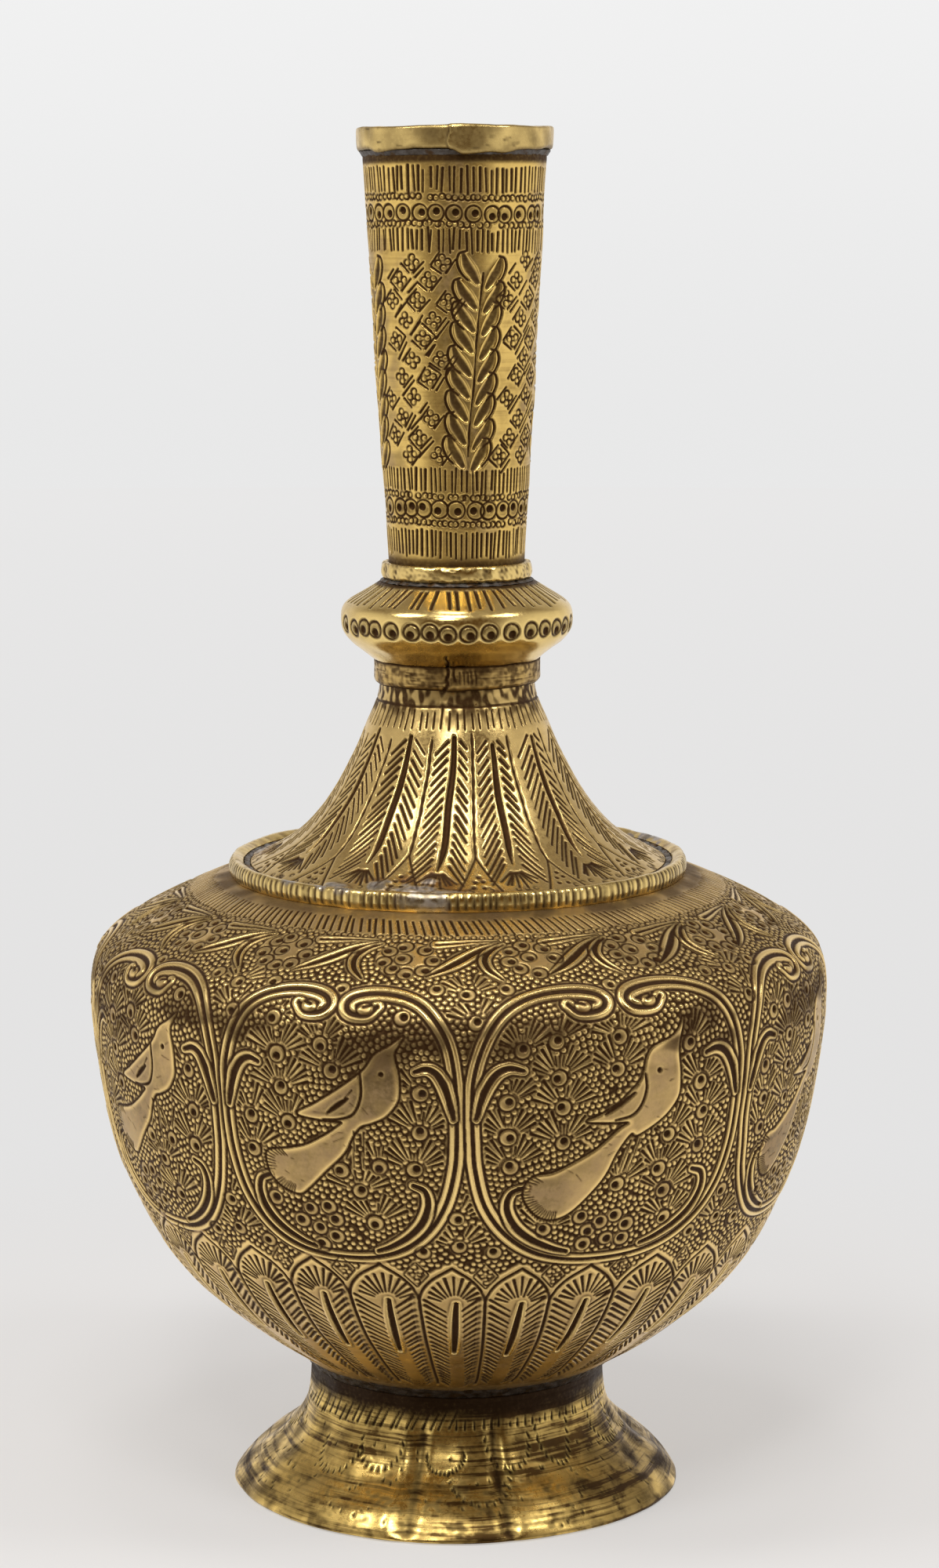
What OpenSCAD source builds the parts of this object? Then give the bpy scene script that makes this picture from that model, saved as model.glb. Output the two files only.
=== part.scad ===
// Long-necked brass vessel: a raised, chased body on a flared foot, with a
// bell collar, a knop and a tapering neck that ends in a folded rim band.
// Every piece is a shell or ring of revolution about +Z. The origin is the
// centre of the ring that the foot stands on.

/* [Sheet] */
// Thickness of the sheet that the body, foot, bell, knop and neck are made of
wall = 1.2; // [0.9:0.1:1.5]

/* [Foot] */
// Outer radius of the edge that the vessel stands on
foot_r = 49.8; // [46:0.2:54]
// Outer radius at the top of the foot, where it meets the bowl
foot_waist_r = 32.8; // [31.6:0.2:33.4]
// Height of the foot's own wall
foot_h = 27.2; // [25:0.2:29]

/* [Body] */
// Largest outer radius of the body
body_r = 81.5; // [76:0.5:86]
// Height from the bottom of the bowl to the land that the bell stands on
body_h = 113.6; // [106:0.2:120]

/* [Shoulder ring] */
// Outer radius of the ring that is laid on the shoulder
ring_r = 50.6; // [49.6:0.2:51]
// Height of that ring above the land
ring_h = 4.1; // [3.4:0.1:5]

/* [Bell collar] */
// Height from the land to the top of the bell's sleeve
bell_h = 46.4; // [40:0.2:52]
// Outer radius of the bell's sleeve, inside the ferrule
sleeve_r = 17; // [16.8:0.1:17.3]

/* [Ferrule] */
// Height of the ferrule
ferrule_h = 5.3; // [4.6:0.1:6]
// Radial thickness of the ferrule's strip
ferrule_t = 1.25; // [1:0.05:1.5]

/* [Knop] */
// Largest outer radius of the knop
knop_r = 25.4; // [24.6:0.1:27]
// Height of the knop
knop_h = 16.9; // [16:0.1:19]

/* [Neck] */
// Outer radius of the neck where it enters the knop
neck_low_r = 14.9; // [14.6:0.1:15.1]
// Outer radius of the neck just under the rim
neck_top_r = 19.9; // [18.4:0.1:21]
// Length of the neck above the bead ring
neck_h = 92.3; // [80:0.2:104]
// Height of the bead ring at the bottom of the neck
bead_h = 3.6; // [3:0.1:4]

/* [Rim band] */
// Height of the folded rim band
rim_h = 5; // [4.4:0.1:6]
// How far the band stands out from the neck
rim_out = 1.4; // [1:0.1:1.8]
// How far the band's inner leaf stands in from the neck's bore
rim_in = 0.6; // [0.5:0.1:0.8]

/* [Hidden] */
fn = 96;

// Heights of the joints between the pieces, from the bottom up.
bowl_z = 24;
land_z = bowl_z + body_h;
ferrule_z = land_z + bell_h - 4;
knop_z = ferrule_z + ferrule_h;
knop_top = knop_z + knop_h;
bead_z = knop_top + 0.7;
neck_z = bead_z + bead_h;
rim_top = neck_z + neck_h + 1.2;
rim_z = rim_top - rim_h;
ring_in = ring_r - 3.2;
skirt_r = ring_in - 1.4;

// A Catmull-Rom curve through the points P, with n steps between each two.
function cr(a, b, c, d, t) = 0.5 * (2 * b + (c - a) * t
    + (2 * a - 5 * b + 4 * c - d) * t * t + (3 * b - a - 3 * c + d) * t * t * t);
function smooth(P, n) = let (m = len(P) - 1)
    [for (i = [0 : m - 1])
        let (a = i == 0 ? 2 * P[0] - P[1] : P[i - 1],
             d = i == m - 1 ? 2 * P[m] - P[m - 1] : P[i + 2])
        for (k = [0 : n - 1]) cr(a, P[i], P[i + 1], d, k / n),
     P[m]];

// The curve C moved sideways by w, to the left of its direction.
function unit(v) = v / norm(v);
function side(C, w) = let (m = len(C) - 1)
    [for (i = [0 : m])
        let (t = unit(C[min(i + 1, m)] - C[max(i - 1, 0)]))
        [max(0, C[i].x - w * t.y), C[i].y + w * t.x]];
function back(C) = [for (i = [len(C) - 1 : -1 : 0]) C[i]];
function part(C, a, b) = [for (i = [a : b]) C[i]];

// Solid of revolution of a closed half section.
module turned(P) rotate_extrude($fn = fn) polygon(P);

// ---- Foot: concave under the bowl, rounded out to a thin standing edge.
function foot_pt(k, z) = [foot_waist_r + (foot_r - foot_waist_r) * k, foot_h * z];
foot_c = smooth([[foot_r, 0], [foot_r - 0.15, 0.8], foot_pt(0.92, 0.085),
    foot_pt(0.8, 0.165), foot_pt(0.61, 0.26), foot_pt(0.38, 0.37),
    foot_pt(0.18, 0.51), foot_pt(0.06, 0.66), foot_pt(0.01, 0.82),
    [foot_waist_r, foot_h]], 3);
foot_in = [for (p = side(foot_c, wall)) if (p.y > 0.5) p];
module foot() color("goldenrod")
    turned(concat(part(foot_c, 0, len(foot_c) - 1),
        [[foot_waist_r - wall, foot_h]],
        back(part(foot_in, 0, len(foot_in) - 2)),
        [[foot_in[0].x, 0]]));

// ---- Body: one curve from the middle of the bowl's bottom to the land,
// with radii as a share of body_r and heights as a share of body_h. The two
// raised shells meet on it at the widest place.
function body_pt(r, z) = [body_r * r / 81.5, bowl_z + body_h * z / 113.6];
body_c = smooth([body_pt(0, 0), body_pt(10, 0), body_pt(20, 0.4),
    [27, bowl_z + 1.6], [33, bowl_z + 4.2], [39.3, bowl_z + 8.2],
    body_pt(45.4, 12.2), body_pt(53.2, 18.4), body_pt(60.3, 25),
    body_pt(66.8, 33.4), body_pt(71.9, 43), body_pt(75.6, 52),
    body_pt(78.3, 62), body_pt(80.2, 73), body_pt(81.3, 82),
    body_pt(81.5, 88), body_pt(81.4, 91.5), body_pt(80.8, 95.2),
    body_pt(79.2, 98.6), body_pt(75.6, 102), body_pt(69.8, 105.4),
    body_pt(62.6, 109), [56.6, land_z - 1.9], [ring_r + 0.4, land_z]], 3);
body_in = side(body_c, wall);
seam = 15 * 3;
last = len(body_c) - 1;
module body_lower() color("darkgoldenrod")
    turned(concat(part(body_c, 0, seam), back(part(body_in, 0, seam))));
// The shoulder runs into a flat land round the hole under the bell.
module body_upper() color("goldenrod")
    turned(concat(part(body_c, seam, last),
        [[skirt_r - wall - 1.6, land_z], [skirt_r - wall - 1.6, land_z - wall]],
        back(part(body_in, seam, last - 1))));

// ---- Solder between the top of the foot and the bowl: it follows the bowl's
// own curve, so the two meet face to face.
foot_top = [for (p = body_c) if (p.x > 30.2 && p.x < 35.2 && p.y > foot_h + 0.1) p];
module foot_solder() color("gray")
    turned(concat([[foot_waist_r - wall, foot_h], [foot_waist_r, foot_h],
        [foot_waist_r + 0.5, foot_h + 0.1]], back(foot_top)));

// ---- Ring laid on the shoulder: half-round outside, with a low inner lip.
module shoulder_ring() color("gold")
    turned(concat([[ring_in, land_z], [ring_r - 0.6, land_z]],
        [for (a = [-40 : 20 : 80])
            [ring_r - 1.1 + 1.1 * cos(a), land_z + ring_h / 2 + (ring_h / 2) * sin(a)]],
        [[ring_r - 1.6, land_z + ring_h], [ring_in + 0.5, land_z + ring_h - 0.5],
         [ring_in, land_z + ring_h - 0.9]]));

// Solder run between the bell's skirt and the ring.
module shoulder_solder() color("gray")
    turned([[skirt_r, land_z], [ring_in, land_z], [ring_in, land_z + ring_h - 1],
        [ring_in - 0.5, land_z + 2.9], [skirt_r + 0.5, land_z + 2.7], [skirt_r, land_z + 2.6]]);

// ---- Bell collar: a trumpet from the sleeve down to a short skirt.
function bell_pt(r, z) = [r, land_z + (bell_h - 4) * z / 42.4];
bell_c = smooth([[skirt_r, land_z + 2.8], bell_pt(39.6, 6.2), bell_pt(34.6, 9.8),
    bell_pt(30.2, 14.6), bell_pt(26.8, 19.6), bell_pt(24.3, 24.2),
    bell_pt(22, 28.8), bell_pt(20.1, 33.4), bell_pt(18.4, 37.2),
    bell_pt(17.35, 40.2), [sleeve_r, ferrule_z]], 3);
bell_in = side(bell_c, wall);
bell_n = len(bell_c) - 1;
module bell_collar() color("goldenrod")
    turned(concat([[skirt_r, land_z]], bell_c,
        [[sleeve_r, ferrule_z + 4], [sleeve_r - wall, ferrule_z + 4],
         [sleeve_r - wall, ferrule_z]],
        back(part(bell_in, 2, bell_n - 1)),
        [[skirt_r - wall, land_z + 1.7], [skirt_r - wall, land_z]]));

// ---- Ferrule: a plain strip bent round the bell's sleeve.
ferrule_r = sleeve_r + ferrule_t;
module ferrule() color("darkgoldenrod")
    turned([[sleeve_r, ferrule_z], [ferrule_r - 0.9, ferrule_z],
        [ferrule_r - 0.3, ferrule_z + 0.5], [ferrule_r, ferrule_z + 1.2],
        [ferrule_r, ferrule_z + ferrule_h], [sleeve_r, ferrule_z + ferrule_h]]);

// ---- Knop: two spun cones that meet at the widest place.
function knop_pt(r, z) = [neck_low_r + (knop_r - neck_low_r) * r, knop_z + knop_h * z];
knop_c = smooth([[ferrule_r, knop_z], knop_pt(0.55, 0.115), knop_pt(0.76, 0.215),
    knop_pt(0.91, 0.32), knop_pt(0.985, 0.42), knop_pt(1, 0.52), knop_pt(0.985, 0.62),
    knop_pt(0.93, 0.7), knop_pt(0.8, 0.775), knop_pt(0.5, 0.885),
    [neck_low_r + 2.1, knop_top]], 3);
knop_in = side(knop_c, wall);
knop_seam = 5 * 3;
knop_n = len(knop_c) - 1;
module knop_lower() color("gold")
    turned(concat(part(knop_c, 0, knop_seam), back(part(knop_in, 1, knop_seam)),
        [[ferrule_r - wall - 0.4, knop_z + 0.9], [ferrule_r - wall - 0.4, knop_z]]));
module knop_upper() color("goldenrod")
    turned(concat(part(knop_c, knop_seam, knop_n), [[neck_low_r, knop_top],
        [neck_low_r, knop_top - wall], [neck_low_r + 1.4, knop_top - wall]],
        back(part(knop_in, knop_seam, knop_n - 2))));

// ---- Bead ring round the foot of the neck, and the solder under it.
module neck_bead() color("gold")
    turned(concat([[neck_low_r, bead_z], [neck_low_r + 1.1, bead_z]],
        [for (a = [-60 : 20 : 60])
            [neck_low_r + 1.1 + 0.5 * cos(a), bead_z + bead_h / 2 + (bead_h / 2 - 0.1) * sin(a)]],
        [[neck_low_r + 1.1, bead_z + bead_h], [neck_low_r, bead_z + bead_h]]));
module bead_solder() color("gray")
    turned([[neck_low_r, knop_top], [neck_low_r + 2.1, knop_top],
        [neck_low_r + 1.5, knop_top + 0.4], [neck_low_r + 1.1, bead_z], [neck_low_r, bead_z]]);

// ---- Neck: a rolled cone, straight at both ends where it is soldered.
module neck_tube() color("goldenrod")
    turned([[neck_low_r, knop_top - wall - 1], [neck_low_r, neck_z],
        [neck_top_r, rim_z - 2], [neck_top_r, rim_top - 1.2],
        [neck_top_r - wall, rim_top - 1.2], [neck_top_r - wall, rim_z - 2],
        [neck_low_r - wall, neck_z], [neck_low_r - wall, knop_top - wall - 1]]);

// ---- Rim band: a strip folded over the neck's top edge.
bore_r = neck_top_r - wall - rim_in;
band_r = neck_top_r + rim_out;
module rim_band() color("gold")
    turned([[bore_r, rim_z], [neck_top_r - wall, rim_z],
        [neck_top_r - wall, rim_top - 1.2], [neck_top_r, rim_top - 1.2],
        [neck_top_r, rim_z], [band_r - 0.5, rim_z], [band_r - 0.1, rim_z + 0.5],
        [band_r, rim_z + 1.2], [band_r, rim_top - 1.1], [band_r - 0.15, rim_top - 0.5],
        [band_r - 0.6, rim_top], [bore_r + 0.5, rim_top], [bore_r, rim_top - 0.6]]);
module rim_solder() color("gray")
    turned([[neck_top_r, rim_z - 1.2], [neck_top_r + 0.35, rim_z - 0.6],
        [neck_top_r + 0.7, rim_z], [neck_top_r, rim_z]]);

foot();
foot_solder();
body_lower();
body_upper();
shoulder_ring();
shoulder_solder();
bell_collar();
ferrule();
knop_lower();
knop_upper();
neck_bead();
bead_solder();
neck_tube();
rim_band();
rim_solder();
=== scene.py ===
import math

import bpy
import numpy as np
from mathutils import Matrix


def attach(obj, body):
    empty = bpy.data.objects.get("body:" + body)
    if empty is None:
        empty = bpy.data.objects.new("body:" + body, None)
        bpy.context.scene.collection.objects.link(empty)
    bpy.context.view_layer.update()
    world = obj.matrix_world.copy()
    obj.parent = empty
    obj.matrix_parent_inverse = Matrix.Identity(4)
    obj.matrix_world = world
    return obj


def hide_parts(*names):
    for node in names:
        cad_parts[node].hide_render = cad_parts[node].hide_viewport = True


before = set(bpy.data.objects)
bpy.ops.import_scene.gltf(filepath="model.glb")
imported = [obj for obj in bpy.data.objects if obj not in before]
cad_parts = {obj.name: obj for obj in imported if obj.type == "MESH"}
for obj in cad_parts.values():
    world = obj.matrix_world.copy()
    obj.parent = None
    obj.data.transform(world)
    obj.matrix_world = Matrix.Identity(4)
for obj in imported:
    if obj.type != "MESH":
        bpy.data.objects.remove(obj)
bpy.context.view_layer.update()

# ==== relief begin
# Every sheet of the vessel is drawn flat first, as a height field in millimetres: a column is an angle round the axis
# (0 is the front, -Y, and + is to the right) and a row is a distance down the sheet's profile. The punches and chisels
# of a chaser are stamped into that field, and the field is then wrapped round the profile as real geometry.
TAU = 2.0 * math.pi


def curve(P, n=12):
    """A Catmull-Rom curve through the points P, as the CAD profiles are."""
    P = [np.array(p, float) for p in P]
    m = len(P) - 1
    out = []
    for i in range(m):
        a = 2 * P[0] - P[1] if i == 0 else P[i - 1]
        d = 2 * P[m] - P[m - 1] if i == m - 1 else P[i + 2]
        b, c = P[i], P[i + 1]
        for k in range(n):
            t = k / n
            out.append(0.5 * (2 * b + (c - a) * t + (2 * a - 5 * b + 4 * c - d) * t * t + (3 * b - a - 3 * c + d) * t ** 3))
    out.append(P[m])
    return np.array(out)


def loop_curve(P, n=6):
    """The same through a closed outline."""
    P = [np.array(p, float) for p in P]
    m = len(P)
    out = []
    for i in range(m):
        a, b, c, d = P[i - 1], P[i], P[(i + 1) % m], P[(i + 2) % m]
        for k in range(n):
            t = k / n
            out.append(0.5 * (2 * b + (c - a) * t + (2 * a - 5 * b + 4 * c - d) * t * t + (3 * b - a - 3 * c + d) * t ** 3))
    return np.array(out)


def polyline_distance(X, Y, P, closed=False):
    """Distance from each cell to the polyline P, and how far along it (0..1) the nearest point is."""
    P = np.asarray(P, float)
    if closed:
        P = np.vstack([P, P[:1]])
    seg = np.hypot(*np.diff(P, axis=0).T)
    along = np.concatenate([[0], np.cumsum(seg)])
    best = np.full(X.shape, 1e9, np.float32)
    at = np.zeros(X.shape, np.float32)
    for k in range(len(P) - 1):
        a, d = P[k], P[k + 1] - P[k]
        l2 = max(float(d @ d), 1e-9)
        u = np.clip(((X - a[0]) * d[0] + (Y - a[1]) * d[1]) / l2, 0, 1)
        q = np.hypot(X - a[0] - u * d[0], Y - a[1] - u * d[1])
        m = q < best
        best[m] = q[m]
        at[m] = (along[k] + u * seg[k])[m]
    return best, at / max(along[-1], 1e-6)


def inside(X, Y, P):
    P = np.asarray(P, float)
    Q = np.roll(P, -1, axis=0)
    r = np.zeros(X.shape, bool)
    for (ax, ay), (bx, by) in zip(P, Q):
        if ay == by:
            continue
        r ^= ((ay > Y) != (by > Y)) & (X < (bx - ax) * (Y - ay) / (by - ay) + ax)
    return r


def smooth01(x):
    x = np.clip(x, 0, 1)
    return x * x * (3 - 2 * x)


def blur(A, k):
    """Box blur of half width k cells, round the columns and down the rows."""
    if k < 1:
        return A
    B = np.concatenate([A[:, -k:], A, A[:, :k]], axis=1)
    C = np.cumsum(np.concatenate([np.zeros((B.shape[0], 1)), B], axis=1, dtype=np.float64), axis=1)
    A = ((C[:, 2 * k + 1:] - C[:, :-2 * k - 1]) / (2 * k + 1)).astype(np.float32)
    B = np.concatenate([np.repeat(A[:1], k, 0), A, np.repeat(A[-1:], k, 0)], axis=0)
    C = np.cumsum(np.concatenate([np.zeros((1, B.shape[1])), B], axis=0, dtype=np.float64), axis=0)
    return ((C[2 * k + 1:] - C[:-2 * k - 1]) / (2 * k + 1)).astype(np.float32)


# ---- what the tools leave: dx is to the right, dy is down, both in mm from the middle of the mark
def ring_mark(dx, dy, r, depth, phi, w):
    d = np.hypot(dx, dy)
    side = 0.64 + 0.36 * (dx * np.cos(phi) + dy * np.sin(phi)) / np.maximum(d, 0.05)
    return -depth * side * np.exp(-((d - r) / w) ** 2), d < r + 0.2


def eye_mark(dx, dy, r, depth, phi, off, rp):
    d = np.hypot(dx, dy)
    v = -depth * (0.75 - 0.25 * (dx * np.cos(phi) + dy * np.sin(phi)) / np.maximum(d, 0.05)) * np.exp(-((d - r) / 0.24) ** 2)
    v = np.minimum(v, np.where(d < r, -0.12 * (1 - (d / r) ** 2), 0))
    dp = np.hypot(dx - off * np.cos(phi), dy - off * np.sin(phi))
    v = np.minimum(v, -0.62 * np.clip(1.35 * (1 - (dp / rp) ** 2), 0, 1))
    return v, d < r + 0.28


def button_mark(dx, dy, r):
    d = np.hypot(dx, dy)
    return -np.sqrt(np.clip(1 - (d / r) ** 2, 0, 1)), d < r


def pit_mark(dx, dy, r, depth):
    d = np.hypot(dx, dy)
    return -depth * np.clip(1.3 * (1 - (d / r) ** 2), 0, 1), d < r + 0.2


def chisel_mark(dx, dy, L, ang, w, depth, k):
    """A cut of half length L, wide at its start and k narrower at its end."""
    c, s = np.cos(ang), np.sin(ang)
    u, v = dx * c + dy * s, -dx * s + dy * c
    f = 1 - k * (u / L + 1) / 2
    ww = np.maximum(w * f, 0.1)
    e = np.clip((L - np.abs(u)) / 0.32 + 0.15, 0, 1)
    val = -depth * np.sqrt(np.clip(f, 0.05, 1)) * np.clip(1 - (v / ww) ** 2, 0, 1) * e
    return val, (np.abs(v) < ww + 0.22) & (np.abs(u) < L + 0.15)


class Canvas:
    def __init__(self, prof, cols, step, seed):
        prof = np.asarray(prof, float)
        self.arc = np.concatenate([[0], np.cumsum(np.hypot(*np.diff(prof, axis=0).T))])
        self.prof = prof
        self.S = self.arc[-1]
        self.rows = int(round(self.S / step)) + 1
        self.cols = cols
        self.ds = self.S / (self.rows - 1)
        self.dt = TAU / cols
        self.sv = np.arange(self.rows) * self.ds
        self.R = np.interp(self.sv, self.arc, prof[:, 0])
        shape = (self.rows, cols)
        self.base = np.zeros(shape, np.float32)
        self.cut = np.zeros(shape, np.float32)
        self.rust = np.zeros(shape, np.float32)
        self.grey = np.zeros(shape, np.float32)
        self.dark = np.zeros(shape, np.float32)
        self.clean = np.zeros(shape, np.float32)
        self.solid = np.zeros(shape, bool)
        self.busy = np.zeros(shape, bool)
        self.rng = np.random.RandomState(seed)

    def radius(self, s):
        return np.interp(s, self.sv, self.R)

    def deg(self, mm, s):
        """Millimetres along a row, as degrees."""
        return np.degrees(mm / np.maximum(self.radius(s), 1.0))

    def stamp(self, th, s, half, mark, pars=(), busy=True, solid=False, rust=0.0, dark=0.0):
        th = np.radians(np.atleast_1d(np.asarray(th, float)))
        s = np.atleast_1d(np.asarray(s, float))
        n = max(len(th), len(s))
        if n == 0:
            return
        th, s = np.broadcast_to(th, n), np.broadcast_to(s, n)
        pars = [np.broadcast_to(np.asarray(p, float), n) for p in pars]
        rust, dark = np.broadcast_to(np.asarray(rust, float), n), np.broadcast_to(np.asarray(dark, float), n)
        kr = int(math.ceil(half / self.ds)) + 1
        kc = np.ceil(half / (self.dt * self.radius(s) * 0.96)).astype(int) + 1
        order = np.argsort(kc, kind="stable")
        cut, bus, sol = self.cut.reshape(-1), self.busy.reshape(-1), self.solid.reshape(-1)
        i = 0
        while i < n:
            room = max(1, int(2.5e6 / ((2 * kc[order[i]] + 1) * (2 * kr + 1))))
            j = min(n, i + room)
            sel = order[i:j]
            K = int(kc[sel].max())
            i = j
            rr = np.floor(s[sel] / self.ds).astype(int)[:, None, None] + np.arange(-kr, kr + 1)[None, :, None]
            cc = np.floor(th[sel] / self.dt).astype(int)[:, None, None] + np.arange(-K, K + 1)[None, None, :]
            ok = (rr >= 0) & (rr < self.rows)
            rc = np.clip(rr, 0, self.rows - 1)
            dx = ((cc * self.dt - th[sel][:, None, None]) * self.R[rc]).astype(np.float32)
            dy = (rr * self.ds - s[sel][:, None, None]).astype(np.float32) + 0 * dx
            val, near = mark(dx, dy, *[p[sel][:, None, None] for p in pars])
            idx = rc * self.cols + cc % self.cols
            ok = np.broadcast_to(ok, val.shape)
            m = ok & (val < -0.003)
            np.minimum.at(cut, idx[m], val[m].astype(np.float32))
            if busy or solid:
                m = ok & near
                if busy:
                    bus[idx[m]] = True
                if solid:
                    sol[idx[m]] = True
            # a mark can be stained with rust and painted dark in its cut; the dark is patina in the mark and painted
            # shade
            for layer, amount in ((self.rust, rust), (self.dark, dark)):
                if np.any(amount[sel] > 0):
                    m = ok & (val < -0.04)
                    w = np.broadcast_to(amount[sel][:, None, None], val.shape)[m] * np.clip(-val[m] / 0.3, 0, 1)
                    np.maximum.at(layer.reshape(-1), idx[m], w.astype(np.float32))

    # -- marks by name
    def rings(self, th, s, r=0.62, depth=0.3, phi=None, w=0.19, **kw):
        n = np.size(th)
        if n == 0:
            return
        phi = self.rng.uniform(0, TAU, n) if phi is None else phi
        self.stamp(th, s, float(np.max(r)) + 0.55, ring_mark, (r, depth, phi, w), **kw)

    def eyes(self, th, s, r=1.85, depth=0.34, phi=None, off=0.45, rp=0.95, **kw):
        n = np.size(th)
        if n == 0:
            return
        phi = self.rng.uniform(0, TAU, n) if phi is None else phi
        self.stamp(th, s, float(np.max(r)) + 0.6, eye_mark, (r, depth, phi, off, rp), **kw)

    def chisel(self, a, b, w=0.4, depth=0.35, k=0.5, **kw):
        """Cuts from the points a to the points b, each (degrees, mm), wide at a."""
        a, b = np.atleast_2d(np.asarray(a, float)), np.atleast_2d(np.asarray(b, float))
        mid = (a + b) / 2
        R = self.radius(mid[:, 1])
        dx, dy = np.radians(b[:, 0] - a[:, 0]) * R, b[:, 1] - a[:, 1]
        L = np.hypot(dx, dy) / 2
        self.stamp(mid[:, 0], mid[:, 1], float(L.max()) + 0.5, chisel_mark,
                   (np.maximum(L, 0.1), np.arctan2(dy, dx), w, depth, k), **kw)

    def near(self, pts, pad):
        pts = np.asarray(pts, float)
        tc = 0.5 * (pts[:, 0].min() + pts[:, 0].max())
        P = np.stack([np.radians(pts[:, 0] - tc) * self.radius(pts[:, 1]), pts[:, 1]], 1)
        r0 = max(0, int((P[:, 1].min() - pad) / self.ds))
        r1 = min(self.rows, int((P[:, 1].max() + pad) / self.ds) + 2)
        rad = self.R[r0:r1]
        span = np.abs(np.radians(pts[:, 0] - tc)).max() + pad / max(rad.min(), 1)
        k = int(span / self.dt) + 1
        c = int(round(math.radians(tc) / self.dt)) + np.arange(-k, k + 1)
        X = ((c * self.dt - math.radians(tc))[None, :] * rad[:, None]).astype(np.float32)
        Y = np.repeat(self.sv[r0:r1, None], len(c), 1).astype(np.float32)
        return (slice(r0, r1), c % self.cols), X, Y, P

    def trace(self, pts, d, h, taper=None, solid=True, margin=0.1, rust=0.0, dark=0.0, clean=0.0, n=5, raw=False, only_free=False):
        """A band along a line: h is its height at each distance d from the line. taper(t) scales its width."""
        pts = np.asarray(pts, float) if raw else curve(pts, n)
        d = np.asarray(d, float)
        (rs, cs), X, Y, P = self.near(pts, d[-1] + 0.6)
        q, t = polyline_distance(X, Y, P)
        if taper is not None:
            f = np.maximum(taper(t), 0.08)
            q = q / f
        else:
            f = 1.0
        v = np.interp(q, d, h, right=0).astype(np.float32)
        v[q > d[-1]] = 0
        cut = self.cut[rs]
        bas = self.base[rs]
        sol = self.solid[rs]
        bus = self.busy[rs]
        if only_free:
            v = np.where(sol[:, cs], 0, v)
        cut[:, cs] = np.where(q <= d[-1], np.minimum(np.where(v > 0, 0, cut[:, cs]), v), np.minimum(cut[:, cs], v)) if not only_free else np.minimum(cut[:, cs], v)
        bas[:, cs] = np.maximum(bas[:, cs], v)
        m = (q * f) < d[-1] * f + margin
        if solid:
            sol[:, cs] |= m
        bus[:, cs] |= m
        if rust:
            ru = self.rust[rs]
            ru[:, cs] = np.where(v > 0, 0, np.maximum(ru[:, cs], rust * np.clip(-v / 0.3, 0, 1)))
        if dark:
            da = self.dark[rs]
            da[:, cs] = np.maximum(da[:, cs], dark * np.clip(-v / 0.25, 0, 1))
        if clean:
            cl = self.clean[rs]
            cl[:, cs] = np.maximum(cl[:, cs], clean * np.clip(-v / 0.1, 0, 1))

    def plate(self, pts, groove=0.34, gw=0.22, at=0.18, grow=0.45, smooth=True, wipe=True, rise=0.0, only_mask=False):
        """A plain raised shape with a line cut round it."""
        pts = loop_curve(pts, 6) if smooth else np.asarray(pts, float)
        (rs, cs), X, Y, P = self.near(pts, 1.6)
        q, _ = polyline_distance(X, Y, P, closed=True)
        sd = np.where(inside(X, Y, P), -q, q)
        if not only_mask:
            cut = self.cut[rs]
            c = cut[:, cs]
            if wipe:
                c = np.where(sd < 0.2, 0, c)
            cut[:, cs] = np.minimum(c, -groove * np.exp(-((sd - at) / gw) ** 2))
            if rise:
                b = self.base[rs]
                b[:, cs] = np.maximum(b[:, cs], rise * smooth01(-sd / 0.9))
        for layer in (self.solid, self.busy):
            a = layer[rs]
            a[:, cs] |= sd < grow
        return (rs, cs), sd

    def blocked(self, th, s):
        c = np.round(np.radians(th) / self.dt).astype(int) % self.cols
        r = np.clip(np.round(np.asarray(s) / self.ds).astype(int), 0, self.rows - 1)
        return self.solid[r, c]

    def fan(self, th, s, turn, n=5, r0=2.7, r1=7.0, spread=48, w=0.5, depth=0.42):
        """Strokes that open like a thistle beside an eye. turn is the angle of the middle one from straight up, + to the right."""
        rng = self.rng
        R = self.radius(s)
        A, B = [], []
        for i in range(n):
            a = math.radians(turn + spread * (i / max(n - 1, 1) - 0.5) + rng.uniform(-2, 2))
            ro = r1 * rng.uniform(0.88, 1.06)
            rr = np.arange(r0, ro + 0.01, 0.3)
            hit = self.blocked(th + np.degrees(rr * math.sin(a) / R), s - rr * math.cos(a))
            if hit.any():
                first = int(np.argmax(hit))
                if first == 0:
                    k = np.argmax(~hit)
                    if not (~hit).any() or k > 4:
                        continue
                    rest = hit[k:]
                    last = k + (int(np.argmax(rest)) if rest.any() else len(rest))
                    ri, ro = rr[k] + 0.2, rr[last - 1] - 0.15
                else:
                    ri, ro = r0, rr[first] - 0.35
            else:
                ri = r0
            if ro - ri < 1.2:
                continue
            B.append((th + math.degrees(ri * math.sin(a) / R), s - ri * math.cos(a)))
            A.append((th + math.degrees(ro * math.sin(a) / R), s - ro * math.cos(a)))
        if A:
            self.chisel(A, B, w=w * rng.uniform(0.85, 1.15, len(A)), depth=depth, k=0.6, solid=True, dark=0.7)

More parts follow.
